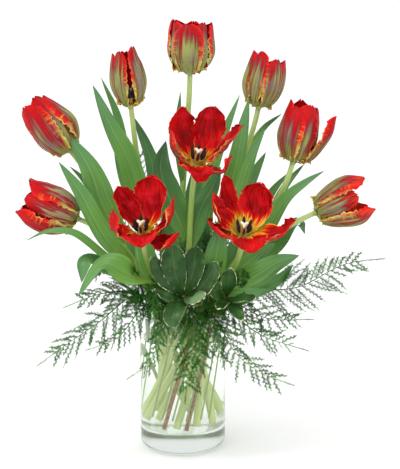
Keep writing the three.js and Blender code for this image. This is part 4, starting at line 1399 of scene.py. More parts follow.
@dataclass
class OpenBloom(Bloom):
    """A wide open bloom, whose petals each run through their own points.

    focus is the height over the bloom's base of the point that its petals face. ruffle,
    frill, pleat and dent are the heights of the waves on a petal.
    """

    spread: float = 9
    focus: float = 48
    shapes: tuple[Petal, ...] = ()
    ruffle: float = 2.8
    frill: float = 2.2
    pleat: float = 0.8
    dent: float = 1.7

    def petals(self) -> list[Blade]:
        """The petals, which face a point above the foot of the bloom."""
        return [self._petal(k, petal) for k, petal in enumerate(self.shapes)]

    def _petal(self, k: int, petal: Petal) -> Blade:
        """One petal.

        Args:
            k: Its number; odd ones are outer petals.
            petal: Its points and width.

        Returns:
            The petal's blade.
        """
        axis, _, _ = self.frame()
        base = np.array(self.base)
        focus = base + self.focus * axis
        radius, height = FOOT_INNER if k % 2 == 0 else FOOT_OUTER
        first = radius * flatten_onto(np.array(petal.through[0], float), axis) + height * axis
        half = petal.width / 2
        random = stream([*self.base, k])

        def width(u: Array) -> Array:
            """Half width along the petal."""
            share = petal_width(u, peak=0.64, foot=0.75, blunt=3.3)
            return np.maximum(half * share, np.where(u < 0.5, FOOT_HALF, 0.06 * half))

        def relief(u: Array, v: Array) -> Array:
            """Ruffles, curled margins, fine pleats and broad dents.

            Args:
                u: Shares of the length.
                v: Places across, from -1 to 1.

            Returns:
                Heights over the petal's plain curve.
            """
            edge, arch = np.abs(v), np.sin(math.pi * u)
            wave = edge**3 * lens(u, 0.7) * np.sin(3.6 * math.pi * u + 1.7 * k + 2 * v)
            frill = ripple(u + 0.37 * np.sign(v), (4, 8, 14), random) * edge**5
            pleats = ripple(v, (3, 6), random) * (1 - edge**4) * arch
            dents = ripple(u + 0.6 * v, (2, 3.5), random) * arch
            raised = self.ruffle * wave + self.frill * frill * (0.4 + 0.6 * u)
            return raised + self.pleat * pleats + self.dent * dents

        def crown(u: Array, v: Array) -> Array:
            """The raised middle of the tip and its uneven edge."""
            return 1.2 * (1 - v**2) * u**4 + 2.2 * ripple(v, (0.9, 2.6), random) * u**6

        return Blade(
            line=Curve([base + first, *(base + np.array(p) for p in petal.through)]),
            half_width=width,
            facing=lambda points: focus - points,
            rows=self.rows,
            cols=self.cols,
            wrap=0.6,
            thickness=PETAL_THICKNESS,
            relief=relief,
            fringe=lambda u, v: torn(u, v, 0.04, random),
            crown=crown,
        )


@dataclass
class Tulip:
    """A tulip: its stem in the vase, its leaves and its bloom.

    mouth is its place in the vase mouth in degrees, and cut the height of its cut end
    above the vase's floor. The cut ends and the stems in the mouth stand on rings of
    cut_ring and mouth_ring, turned against each other by twist degrees. A stem keeps its
    slope over the length lead and lines up with its bloom over the length trail.
    """

    number: int
    mouth: float
    cut: float
    bloom: Bloom
    leaves: tuple[Leaf, ...]
    stem_finish: StemFinish = StemFinish()
    leaf_finish: LeafFinish = LeafFinish()
    back_finish: LeafFinish = LeafFinish("80a44a", "648f4c", "567e58", "8fa98f")
    stem_radius: float = 4.1
    neck_radius: float = 3.0
    cut_ring: float = 35
    mouth_ring: float = 33
    twist: float = -118
    lead: float = 55
    trail: float = 70

    @property
    def name(self) -> str:
        """The tulip's name, as its solids are named."""
        return f"tulip_{self.number:02d}"

    def stem_line(self, vase: Vase) -> Array:
        """Points of the stem: straight in the vase, then bending to its bloom.

        Args:
            vase: The vase that it stands in.

        Returns:
            The points, from the cut end to the bloom.
        """
        cut = on_ring(self.cut_ring, self.mouth + self.twist, vase.floor + self.cut)
        mouth = on_ring(self.mouth_ring, self.mouth, vase.height)
        slope = unit(mouth - cut)
        base = np.array(self.bloom.base, float)
        axis = unit(np.array(self.bloom.aim, float))
        controls = [mouth, mouth + self.lead * slope, base - self.trail * axis, base]
        straight = cut + (mouth - cut) * np.linspace(0, 1, 16)[:-1, None]
        return np.vstack([straight, bezier(controls, count=44)])

    def build(self, vase: Vase) -> None:
        """Builds the tulip's pieces.

        Args:
            vase: The vase that it stands in.
        """
        self.bloom.build_petals(self.name)
        self.bloom.build_heart(self.name)
        line = self.stem_line(vase)
        share = np.linspace(0, 1, len(line))
        radii = np.interp(share, [0, 0.3, 1], [self.stem_radius, self.stem_radius, self.neck_radius])
        radii = radii * (1 + 0.025 * ripple(share, (3, 7), stream([self.mouth])))
        builder = MeshBuilder()
        builder.tube(line, radii, sides=18, slot=0)
        stem = Curve([*line[::3], line[-1]], samples=4)
        for leaf in self.leaves:
            self._blade(stem.at_height(leaf.start), leaf).add_to(builder, upper=1, under=2)
        stem_material = self.stem_finish.material(f"{self.name} stem")
        leaf_material = self.leaf_finish.material(f"{self.name} leaf")
        back_material = self.back_finish.material(f"{self.name} leaf back")
        piece = builder.build(f"{self.name}_green", [stem_material, leaf_material, back_material])
        settle(piece, Slot.STEM, f"{self.name}_stem")

    def _blade(self, root: Array, leaf: Leaf) -> Blade:
        """One leaf.

        Args:
            root: Where it leaves the stem.
            leaf: Its points and width.

        Returns:
            The leaf's blade.
        """
        random = stream([*leaf.through[-1], leaf.width])
        half = leaf.width / 2
        face = np.array(leaf.face, float)

        def width(u: Array) -> Array:
            """Half width along the leaf, with a foot that clasps the stem."""
            return np.maximum(np.maximum(half * lens(u, 0.42) ** 0.8, 2.6 * (1 - u)), 0.25)

        def relief(u: Array, v: Array) -> Array:
            """Waved margins, a shallow keel and long veins.

            Args:
                u: Shares of the length.
                v: Places across, from -1 to 1.

            Returns:
                Heights over the leaf's plain curve.
            """
            edge, arch = np.abs(v), np.sin(math.pi * u)
            wave = 0.05 * leaf.width * edge**3 * lens(u, 0.7)
            wave = wave * np.sin(3 * math.pi * u + leaf.width + 2 * v)
            loose = 0.04 * leaf.width * edge**2 * ripple(u + 0.3 * np.sign(v), (2, 4), random)
            veins = 0.09 * np.cos(v * math.pi * 9) * (1 - edge**6) * arch**0.5
            keel = 0.03 * leaf.width * np.exp(-((v / 0.16) ** 2)) * arch
            return wave + loose * lens(u, 0.6) + veins - keel

        return Blade(
            line=Curve([root, *(np.array(p, float) for p in leaf.through)]),
            half_width=width,
            facing=lambda points: np.broadcast_to(face, points.shape),
            rows=44,
            cols=18,
            wrap=0.45,
            thickness=LEAF_THICKNESS,
            relief=relief,
            fringe=lambda u, v: 0 * u,
            crown=lambda u, v: 0 * u,
            edge_thickness=0.4,
        )


# -------------------- greenery


@dataclass(frozen=True)
class SprigLeaf:
    """A pittosporum leaf, from the sprig's crown through points to its tip."""

    through: tuple[Point, ...]
    width: float
    face: Point


@dataclass
class Sprig:
    """A pittosporum sprig: a woody stem with a rosette of cream-edged leaves.

    mouth is its place in the vase mouth in degrees, turn how far round the vase its cut
    end stands from there, and cut the height of that end above the vase's floor. Both
    stand on the ring, near the wall. Over the mouth the stem bends outwards by lean, at
    the height rise, and runs on to its crown.
    """

    number: int
    mouth: float
    crown: Point
    leaves: tuple[SprigLeaf, ...]
    radius: float = 2.4
    ring: float = 43
    turn: float = -48
    cut: float = 4
    lean: float = 6
    rise: float = 16
    bark: SpeckledFinish = SpeckledFinish("7a5228", "b98b4c", 380, 0.8, 0.0006)
    finish: VariegatedFinish = VariegatedFinish()
    back_finish: VariegatedFinish = VariegatedFinish(green="587a4c", mottle="6c8c5f")

    def line(self, vase: Vase) -> list[Array]:
        """The stem's points.

        Args:
            vase: The vase that it stands in.

        Returns:
            The points, from its cut end to the crown.
        """
        cut = on_ring(self.ring, self.mouth + self.turn, vase.floor + self.cut)
        mouth = on_ring(self.ring, self.mouth, vase.height)
        bend = on_ring(self.ring + self.lean, self.mouth + 5, vase.height + self.rise)
        crown = np.array(self.crown, float)
        return [cut, mouth, bend, 0.55 * crown + 0.45 * bend + [0, 0, 3], crown]

    def build(self, vase: Vase) -> None:
        """Builds and dresses the sprig.

        Args:
            vase: The vase that it stands in.
        """
        line = self.line(vase)
        straight = line[0] + (line[1] - line[0]) * np.linspace(0, 1, 14)[:-1, None]
        points = np.vstack([straight, Curve(line[1:]).at(np.linspace(0, 1, 20))])
        share = np.linspace(0, 1, len(points))
        knots = 1 + 0.06 * ripple(share, (6, 13), stream([self.mouth]))
        builder = MeshBuilder()
        builder.tube(points, (self.radius - 0.8 * share) * knots, sides=12, slot=0)
        for k, leaf in enumerate(self.leaves):
            down = min(0.06 + 0.07 * k, 0.75)
            root = line[-1] + (line[-2] - line[-1]) * down
            self._blade(root, leaf).add_to(builder, upper=1, under=2)
        name = f"pittosporum_{self.number:02d}"
        dressed = [self.bark.material(f"{name} bark"), self.finish.material(f"{name} leaf")]
        dressed.append(self.back_finish.material(f"{name} leaf back"))
        settle(builder.build(f"{name}_fine", dressed), Slot.PITTOSPORUM, name)

    def _blade(self, root: Array, leaf: SprigLeaf) -> Blade:
        """One leaf.

        Args:
            root: Where it leaves the stem.
            leaf: Its points and width.

        Returns:
            The leaf's blade.
        """
        random = stream([*leaf.through[-1], leaf.width])
        face = np.array(leaf.face, float)

        def width(u: Array) -> Array:
            """Half width along the leaf."""
            share = petal_width(u, peak=0.66, foot=1.1, blunt=2.1)
            return leaf.width / 2 * np.maximum(share, 0.07)

        def relief(u: Array, v: Array) -> Array:
            """Waved margins, side veins and a sunken midrib.

            Args:
                u: Shares of the length.
                v: Places across, from -1 to 1.

            Returns:
                Heights over the leaf's plain curve.
            """
            edge = np.abs(v)
            wave = 1.7 * edge**3 * lens(u, 0.7) * np.sin(3.2 * math.pi * u + leaf.width + 2 * v)
            frill = 1.2 * ripple(u + 0.4 * np.sign(v), (4, 7), random) * edge**4
            side_veins = 0.12 * np.cos(2 * math.pi * (7 * u - 2.2 * edge)) * (1 - edge**2)
            midrib = 0.5 * np.exp(-((v / 0.1) ** 2)) * np.sin(math.pi * u)
            return wave + frill + side_veins - midrib

        return Blade(
            line=Curve([root, *(np.array(p, float) for p in leaf.through)]),
            half_width=width,
            facing=lambda points: np.broadcast_to(face, points.shape),
            rows=32,
            cols=20,
            wrap=0.35,
            thickness=LEAF_THICKNESS,
            relief=relief,
            fringe=lambda u, v: 0.05 * np.abs(v) ** 6 * ripple(u, (6, 11), random),
            crown=lambda u, v: 1.2 * (1 - v**2) * u**4,
            edge_thickness=0.5,
        )


@dataclass
class Plume:
    """Fine needles in whorls along thin lines, as plumosa fern carries them.

    needle is their greatest length, whorl how many start at one place, spacing the step
    from one such place to the next and radius that of a needle's foot.
    """

    needle: float = 3.5
    whorl: int = 5
    spacing: float = 1.2
    radius: float = 0.25
    roots: list[Array] = field(default_factory=list)
    vectors: list[Array] = field(default_factory=list)

    def clothe(self, line: Curve, start: float, random: Draws) -> None:
        """Lays needles along a line, shorter towards its tip.

        Args:
            line: The line that carries them.
            start: The share of the line where they begin.
            random: The source of drawn numbers.
        """
        count = max(int(line.length * (1 - start) / self.spacing), 3)
        share = np.repeat(np.linspace(start, 1, count), self.whorl)
        along = line.along(share)
        out = flatten_onto(random.normal(0, 1, along.shape), along)
        aim = unit(along * random.uniform(0.35, 1.0, (len(share), 1)) + out)
        size = self.needle * random.uniform(0.7, 1.1, len(share)) * (1 - 0.45 * share**3)
        self.roots.append(line.at(share))
        self.vectors.append(aim * size[:, None])

    def lay(self, start: Array, vector: Array) -> None:
        """Lays one bare twig, which is a longer needle."""
        self.roots.append(start[None])
        self.vectors.append(vector[None])

    def add_to(self, builder: MeshBuilder, slot: int) -> None:
        """Adds all the needles laid so far.

        Args:
            builder: What collects the faces.
            slot: Material number.
        """
        builder.needles(np.vstack(self.roots), np.vstack(self.vectors), self.radius, slot)


@dataclass(frozen=True)
class Branch:
    """A side branch of a frond: its line, its length and the normal of the frond there."""

    line: Curve
    length: float
    normal: Array


# Fronds up to this number have a solid of their own.
SOLID_FRONDS = 13

# Points along a branch.
BRANCH_POINTS = 8


@dataclass
class Frond:
    """A plumosa fern frond: a wiry rib with side branches that end as fine plumes.

    mouth places it in the vase mouth in degrees, through are the points that it runs
    over outside and face is the way that it looks. spread is the reach of its longest
    side branches, of which a branch itself is the share bone and its needles the rest.
    Branches leave the rib spacing apart on each side, from the share bare to a tail that
    carries needles alone, and lean forward by sweep. Those longer than least carry twigs,
    twig_gap apart. The cut end stands on the ring too, turned from the mouth by twist
    degrees and cut above the vase's floor. The first fronds have a solid of their own; the
    rest are short ones, tucked in between the stems, which end short_cut higher and only
    just reach the water.
    """

    number: int
    mouth: float
    through: tuple[Point, ...]
    spread: float
    face: Point
    spacing: float = 7.4
    sweep: float = 0.95
    tail: float = 0.14
    bare: float = 0.13
    bone: float = 0.86
    least: float = 10
    twig_gap: float = 2.1
    ring: float = 44.3
    twist: float = -40
    cut: float = 16
    short_cut: float = 96
    rib_radius: float = 1.1
    branch_radii: tuple[float, float] = (0.42, 0.18)
    # The rib too is painted paler under the water: partly its own colour, partly painted light.
    wood: StemFinish = StemFinish(green="34581f", neck="4a7430", soaked_painted_light="a5ba74")
    foliage: SpeckledFinish = SpeckledFinish("285c1d", "4e9038", 60, 0.7, 0.0002, 0.06)

    def line(self, vase: Vase) -> tuple[Array, Curve]:
        """Lays out the rib.

        Args:
            vase: The vase that it stands in.

        Returns:
            The cut end in the vase, and the curve of the rib above its mouth.
        """
        whole = on_ring(self.ring, self.mouth + self.twist, vase.floor + self.cut)
        mouth = on_ring(self.ring, self.mouth, vase.height)
        share = 0 if self.number <= SOLID_FRONDS else self.short_cut / (mouth - whole)[2]
        cut = whole + share * (mouth - whole)
        first = np.array(self.through[0], float)
        over = mouth + 0.3 * (first - mouth) + [0, 0, 14]
        return cut, Curve([mouth, over, *(np.array(p, float) for p in self.through)])

    def build(self, vase: Vase) -> None:
        """Builds and dresses the frond.

        Args:
            vase: The vase that it stands in.
        """
        cut, rib = self.line(vase)
        random = stream([self.mouth, *self.through[-1]])
        builder, plume = MeshBuilder(), Plume()
        steps = np.linspace(0, 1, 60)
        below = cut + (rib.dense[0] - cut) * np.linspace(0, 1, 10)[:-1, None]
        radii = self.rib_radius * np.concatenate([np.ones(len(below)), 1 - 0.8 * steps])
        builder.tube(np.vstack([below, rib.at(steps)]), radii, sides=7, slot=0)
        gap = self.spacing / rib.length
        for k, place in enumerate(np.arange(self.bare, 1 - self.tail, gap / 2)):
            branch = self._branch(rib, place, 2 * (k % 2) - 1, random)
            self._dress(builder, plume, branch, random)
        plume.clothe(rib, 1 - self.tail - gap, random)
        plume.clothe(rib, 1 - 0.5 * self.tail, random)
        plume.add_to(builder, 1)
        name = f"fern_{self.number:02d}"
        dressed = [self.wood.material(f"{name} rib"), self.foliage.material(f"{name} needles")]
        nodes = [name] if self.number <= SOLID_FRONDS else []
        settle(builder.build(f"{name}_fine", dressed), Slot.FERN, *nodes)

    def _branch(self, rib: Curve, place: float, sign: int, random: Draws) -> Branch:
        """Lays out one side branch.

        Args:
            rib: The frond's rib.
            place: The share of the rib where the branch leaves it.
            sign: The side of the rib, 1 or -1.
            random: The frond's source of drawn numbers.

        Returns:
            The branch.
        """
        s = (place - self.bare) / (1 - self.bare - self.tail)
        root, along = rib.at(place)[0], rib.along(place)[0]
        normal = flatten_onto(np.array(self.face, float), along)
        side = np.cross(along, normal) * sign
        length = self.bone * self.spread * min(1.0, 0.6 + 2.5 * s) * (1 - 0.6 * s**1.5)
        length *= 1 + 0.4 * random.uniform(-1, 1)
        lift = 0.45 * random.uniform(-1, 1)
        aim = unit((self.sweep + 0.4 * random.uniform(-1, 1)) * along + side + lift * normal)
        ahead = random.uniform(-0.1, 0.4) * along
        bend = ahead - 0.1 * normal + [0, 0, random.uniform(-0.3, 0.05)]
        t = np.linspace(0, 1, BRANCH_POINTS)[:, None]
        line = Curve(list(root + length * (aim * t + bend * t**2)), samples=6)
        return Branch(line, length, normal)

    def _dress(self, builder: MeshBuilder, plume: Plume, branch: Branch, random: Draws) -> None:
        """Adds a branch with its needles and, where it is long enough, its twigs.

        Args:
            builder: What collects the wood.
            plume: What collects the needles.
            branch: The branch.
            random: The frond's source of drawn numbers.
        """
        steps = np.linspace(0, 1, BRANCH_POINTS)
        radii = np.linspace(*self.branch_radii, BRANCH_POINTS)
        builder.tube(branch.line.at(steps), radii, sides=4, slot=1)
        plume.clothe(branch.line, 0.06, random)
        if branch.length < self.least:
            return
        for j, place in enumerate(np.arange(0.08, 0.85, self.twig_gap / branch.length)):
            start, ahead = branch.line.at(place)[0], branch.line.along(place)[0]
            flank = np.cross(ahead, branch.normal) * (2 * (j % 2) - 1)
            reach = 1 + 0.13 * branch.length * (1 - place)
            reach *= 1 + 0.25 * random.uniform(-1, 1)
            twig = unit(ahead + 0.9 * flank + 0.4 * random.uniform(-1, 1) * branch.normal)
            plume.clothe(Curve([start, start + reach * twig], samples=3), 0.1, random)
            plume.lay(start, (reach + 1) * twig)


# -------------------- the plants' places


# Tulips in the middle of the bunch, whose leaves get darker colours as painted shade, since the middle of
# the bunch lies in shade.
SHADED_MIDDLE_TULIPS = (1, 8)


def closed_blooms() -> list[Bloom]:
    """The blooms of tulips 1 to 7: two even cups and five with petals of their own.

    Returns:
        The blooms, in the order of their tulips.
    """
    green_top = PetalFinish(green=0.9, purple=0.55)
    green_narrow = PetalFinish(margin=0.8, green=0.95, purple=0.65)
    reddening = PetalFinish(green=0.62)
    # Its painted sheen is pinker.
    crimson = PetalFinish(margin=0.4, green=0.42, purple=0.6, sheen="7c4a5c")
    striped = PetalFinish(margin=0.6, purple=0.4, olive="a58a68")
    fiery = PetalFinish(flame=0.3, margin=1.0, green=0.75, red="d6301a")
    parted = (
        CupPetal(239, 0.72, ((1, 0.38), (0.87, 0.72), (0.66, 0.95))),
        CupPetal(188, 0.8, ((0.9, 0.38), (0.84, 0.72), (0.72, 0.93))),
        CupPetal(125, 0.95, ((0.95, 0.38), (0.8, 0.72), (0.55, 0.96))),
        CupPetal(75, 0.95, ((0.8, 0.38), (0.7, 0.72), (0.5, 0.95))),
        CupPetal(321, 0.7, ((1, 0.38), (0.87, 0.72), (0.66, 1.02))),
        CupPetal(10, 0.8, ((0.9, 0.38), (0.82, 0.72), (0.64, 0.9))),
    )
    notched = (
        CupPetal(301, 0.8, ((1.05, 0.38), (1, 0.7), (0.8, 0.93))),
        CupPetal(2, 0.9, ((0.95, 0.38), (0.95, 0.72), (0.85, 0.93))),
        CupPetal(55, 0.9, ((0.95, 0.38), (0.9, 0.72), (0.75, 0.9))),
        CupPetal(140, 0.85, ((0.9, 0.38), (0.9, 0.72), (0.8, 0.96))),
        CupPetal(190, 0.8, ((1, 0.38), (0.97, 0.72), (0.85, 1))),
        CupPetal(235, 0.74, ((0.95, 0.38), (0.92, 0.72), (0.78, 1.02))),
    )
    flaring = (
        CupPetal(232, 0.95, ((1, 0.38), (0.95, 0.7), (0.75, 0.9))),
        CupPetal(282, 0.9, ((0.85, 0.38), (0.85, 0.72), (0.6, 0.97))),
        CupPetal(338, 0.62, ((1.15, 0.36), (1.4, 0.6), (1.42, 0.88))),
        CupPetal(30, 0.9, ((0.85, 0.38), (0.75, 0.72), (0.6, 0.93))),
        CupPetal(110, 1, ((1, 0.38), (0.85, 0.72), (0.65, 1))),
        CupPetal(180, 0.9, ((0.9, 0.38), (0.85, 0.72), (0.75, 0.97))),
    )
    curled = (
        CupPetal(222, 0.95, ((1.1, 0.38), (1.1, 0.7), (0.8, 0.95))),
        CupPetal(285, 0.75, ((0.9, 0.38), (0.8, 0.7), (0.55, 0.9))),
        CupPetal(345, 0.9, ((1, 0.38), (0.95, 0.7), (0.85, 0.92))),
        CupPetal(40, 0.9, ((0.85, 0.38), (0.8, 0.72), (0.85, 0.95))),
        CupPetal(110, 0.9, ((0.9, 0.38), (0.75, 0.72), (0.5, 0.9))),
        CupPetal(170, 0.9, ((0.9, 0.38), (0.8, 0.72), (0.6, 0.9))),
    )
    gaping = (
        CupPetal(322, 1.05, ((1.15, 0.38), (1.35, 0.7), (1.05, 0.95))),
        CupPetal(258, 0.8, ((1, 0.36), (0.85, 0.6), (0.6, 0.78))),
        CupPetal(196, 0.9, ((1.05, 0.38), (1.15, 0.72), (0.75, 1))),
        CupPetal(150, 0.8, ((0.9, 0.38), (1, 0.72), (0.75, 0.92))),
        CupPetal(90, 0.8, ((0.85, 0.38), (0.7, 0.6), (0.4, 0.75))),
        CupPetal(20, 0.8, ((0.95, 0.38), (1.12, 0.68), (1.05, 0.86))),
    )
    return [
        ClosedBloom((9, 40, 438), (0.02, -0.05, 1), green_top, reach=60, girth=28, tip=0.96, turn=20),
        ClosedBloom((-60, 35, 400), (-0.1, 0, 1), green_narrow, reach=67, girth=21, cup=parted),
        ClosedBloom((89, 35, 399), (0.2, 0, 1), green_top, reach=63, girth=23, cup=notched),
        ClosedBloom((-127, 0, 352), (-0.62, -0.08, 0.78), reddening, reach=72, girth=27, tip=0.7, turn=10),
        ClosedBloom((128, 10, 338), (0.22, 0, 0.97), crimson, reach=71, girth=26, cup=flaring),
        ClosedBloom((-118, -15, 276), (-0.9, -0.07, 0.4), striped, reach=72, girth=27, cup=curled),
        ClosedBloom((152, -15, 283), (0.9, -0.07, 0.42), fiery, reach=67, girth=24, cup=gaping),
    ]


def open_blooms() -> list[Bloom]:
    """The blooms of tulips 8 to 10.

    Returns:
        The blooms, in the order of their tulips.
    """
    open_red = PetalFinish(flame=0.22, margin=0.2, green=0.3, purple=0.7)
    open_flamed = PetalFinish(flame=0.34, margin=0.75, green=0.3, purple=0.6)
    return [
        OpenBloom(
            (16, -42, 341), (0.15, -0.45, 0.88), open_red,
            shapes=(
                Petal(((-11, 2, 20), (-18, 8, 41), (-13, 12, 62)), 38),
                Petal(((11, 4, 20), (17, 10, 41), (21, 12, 63)), 36),
                Petal(((-15, -14, 6), (-26, -26, 23), (-28, -24, 42)), 36),
                Petal(((18, -8, 10), (33, -16, 25), (50, -18, 45)), 32),
                Petal(((13, -18, -2), (30, -34, -2), (38, -36, 15)), 18),
                Petal(((-1, -24, 1), (-2, -42, -2), (1, -52, -9)), 38),
            ),
        ),
        OpenBloom(
            (-42, -82, 270), (-0.05, -0.57, 0.82), open_red,
            shapes=(
                Petal(((7, 2, 19), (10, 8, 40), (12, 10, 63)), 38),
                Petal(((-8, 0, 18), (-18, 2, 36), (-25, -2, 53)), 26),
                Petal(((17, -16, 9), (32, -28, 25), (36, -26, 46)), 25),
                Petal(((-16, -16, 7), (-31, -32, 15), (-28, -36, 33)), 30),
                Petal(((-1, -24, 5), (-2, -42, 5), (0, -54, 0)), 38),
                Petal(((16, -16, -1), (31, -32, -3), (40, -40, 10)), 26),
            ),
        ),
        OpenBloom(
            (67, -82, 268), (0.05, -0.57, 0.82), open_flamed,
            shapes=(
                Petal(((-8, 4, 19), (-15, 10, 40), (-20, 10, 65)), 20),
                Petal(((-14, -10, 15), (-29, -16, 32), (-32, -10, 49)), 34),
                Petal(((10, 2, 17), (16, 8, 37), (20, 8, 57)), 40),
                Petal(((16, -10, 4), (38, -24, 8), (53, -28, 23)), 30),
                Petal(((3, -22, 3), (6, -40, 3), (7, -52, -4)), 38),
                Petal(((-15, -16, 5), (-30, -32, 13), (-38, -38, 26)), 32),
            ),
        ),
    ]


def tulip_leaves() -> list[tuple[Leaf, ...]]:
    """The leaves of the tulips.

    Returns:
        The leaves of each tulip in turn.
    """
    return [
        (
            Leaf(300, ((-5, 28, 374), (-2, 25, 418)), 10),
            Leaf(232, ((-26, 40, 290), (-40, 42, 345), (-58, 46, 388)), 22, (0.4, -1, 0.2)),
            Leaf(215, ((10, 74, 270), (20, 92, 320), (30, 104, 352)), 24, (0, -1, 0.6)),
        ),
        (
            Leaf(235, ((-63, 16, 340), (-83, 10, 382), (-101, 5, 427)), 27, (0.3, -1, 0.2)),
            Leaf(290, ((-68, 50, 345), (-78, 52, 390), (-96, 54, 433)), 12),
            Leaf(215, ((-52, 72, 265), (-74, 90, 310), (-86, 100, 345)), 22, (0.2, -1, 0.6)),
        ),
        (
            Leaf(255, ((62, 15, 335), (70, 15, 375), (77, 20, 411)), 22),
            Leaf(225, ((30, 16, 305), (46, 12, 364), (66, 15, 415)), 16),
            Leaf(335, ((96, 47, 374), (117, 48, 391)), 8),
            Leaf(215, ((62, 68, 270), (86, 84, 312), (102, 92, 340)), 24, (0, -1, 0.6)),
        ),
        (
            Leaf(240, ((-91, -10, 292), (-104, -15, 333), (-128, -12, 372)), 33, (0.4, -1, 0.3)),
            Leaf(225, ((-96, 26, 285), (-120, 30, 318), (-133, 34, 330)), 16, (0.3, -0.6, 0.8)),
        ),
        (
            Leaf(235, ((67, -2, 300), (80, -2, 348), (95, 0, 378)), 18),
            Leaf(225, ((92, 34, 270), (106, 38, 298), (126, 40, 322)), 14, (-0.2, -1, 0.3)),
            Leaf(275, ((124, 26, 312), (143, 27, 334)), 9),
        ),
        (
            Leaf(218, ((-84, -34, 255), (-115, -30, 310), (-138, -25, 343)), 24, (0.5, -1, 0.4)),
            Leaf(
                205, ((-84, -42, 236), (-121, -46, 266), (-149, -46, 268), (-173, -45, 258)),
                12, (0, -0.7, 1),
            ),
            Leaf(196, ((-80, -38, 218), (-106, -46, 234), (-112, -58, 212)), 30, (-0.2, -0.4, 1)),
            Leaf(225, ((-88, 8, 258), (-115, 12, 282)), 9),
            Leaf(190, ((-50, -12, 224), (-62, -2, 258)), 24),
        ),
        (
            Leaf(212, ((94, 0, 252), (119, -3, 297), (141, -8, 317), (162, -10, 331)), 18, (-0.4, -1, 0.4)),
            Leaf(205, ((110, 12, 238), (136, 16, 268), (146, 30, 250)), 24, (-0.4, -0.7, 0.8)),
            Leaf(190, ((54, -14, 224), (68, -4, 258)), 24),
        ),
        (
            Leaf(250, ((-15, -24, 305), (-24, -20, 338), (-18, -16, 366)), 36, (0.7, -1, 0.2)),
            Leaf(240, ((21, -26, 288), (36, -18, 316), (44, -10, 336)), 26, (-0.3, -1, 0.3)),
            Leaf(222, ((-16, -8, 281), (-28, 0, 320), (-26, 2, 345)), 13),
            Leaf(188, ((-12, -22, 226), (-20, -8, 268)), 26),
            Leaf(188, ((18, -20, 230), (28, -4, 276)), 28),
        ),
        (
            Leaf(206, ((-54, -76, 222), (-82, -76, 238), (-114, -72, 201)), 34, (-0.2, -0.5, 1)),
            Leaf(192, ((-40, -34, 232), (-48, -22, 274)), 26, (0.2, -1, 0.2)),
        ),
        (
            Leaf(196, ((82, -60, 220), (106, -64, 236), (131, -58, 243)), 30, (0.1, -1, 0.5)),
            Leaf(184, ((84, -46, 200), (111, -46, 214), (126, -44, 229)), 20, (0, -0.9, 0.5)),
            Leaf(208, ((80, -48, 238), (105, -44, 254)), 24, (0, -0.8, 0.7)),
            Leaf(176, ((68, -68, 198), (98, -76, 209)), 24, (0, -1, 0.5)),
            Leaf(190, ((38, -34, 230), (46, -20, 274)), 28, (-0.2, -1, 0.2)),
        ),
    ]


def tulips() -> list[Tulip]:
    """The ten tulips with their places, blooms and leaves.

    Returns:
        The tulips, in the order of their numbers.
    """
    mouths = (90, 126, 54, 162, 18, 198, -18, -90, -126, -54)
    cuts = (4, 9, 6, 12, 4, 7, 11, 5, 8, 6)
    plants = zip(mouths, cuts, [*closed_blooms(), *open_blooms()], tulip_leaves())
    made = [Tulip(number, *plant) for number, plant in enumerate(plants, start=1)]
    # Painted shade: darker leaf colours for the tulips in the shaded middle of the bunch.
    for tulip in made:
        if tulip.number in SHADED_MIDDLE_TULIPS:
            tulip.leaf_finish = LeafFinish("64903a", "447634", "3f6a44", "6f9468")
    return made


def sprigs() -> list[Sprig]:
    """The two pittosporum sprigs.

    Returns:
        The sprigs, in the order of their numbers.
    """
    first = (
        SprigLeaf(((-6, -91, 230), (-10, -84, 260)), 28, FRONT),
        SprigLeaf(((12, -92, 228), (17, -83, 258)), 26, (-0.3, -1, 0.4)),
        SprigLeaf(((-16, -92, 222), (-32, -88, 247)), 19, (0.3, -1, 0.4)),
        SprigLeaf(((22, -97, 216), (39, -90, 242)), 24, (-0.2, -1, 0.6)),
        SprigLeaf(((13, -104, 207), (26, -112, 213)), 17, (0, 0.8, -0.8)),
        SprigLeaf(((-4, -106, 197), (-9, -116, 187), (-7, -118, 178)), 22, (0, -0.7, 0.8)),
        SprigLeaf(((-14, -97, 206), (-28, -98, 214)), 13, (0.2, -0.8, 0.8)),
    )
    second = (
        SprigLeaf(((52, -80, 216), (54, -92, 236)), 17, (0, -1, 0.6)),
        SprigLeaf(((64, -84, 200), (80, -98, 204)), 17, (0, -0.6, 1)),
        SprigLeaf(((46, -86, 196), (40, -104, 194)), 15, (0, -0.6, 1)),
        SprigLeaf(((38, -78, 206), (30, -76, 224)), 16, (0.2, -1, 0.5)),
        SprigLeaf(((58, -84, 190), (66, -100, 180)), 15, (0, -0.6, 1)),
    )
    return [Sprig(1, -70, (2, -84, 203), first), Sprig(2, -36, (50, -66, 196), second)]


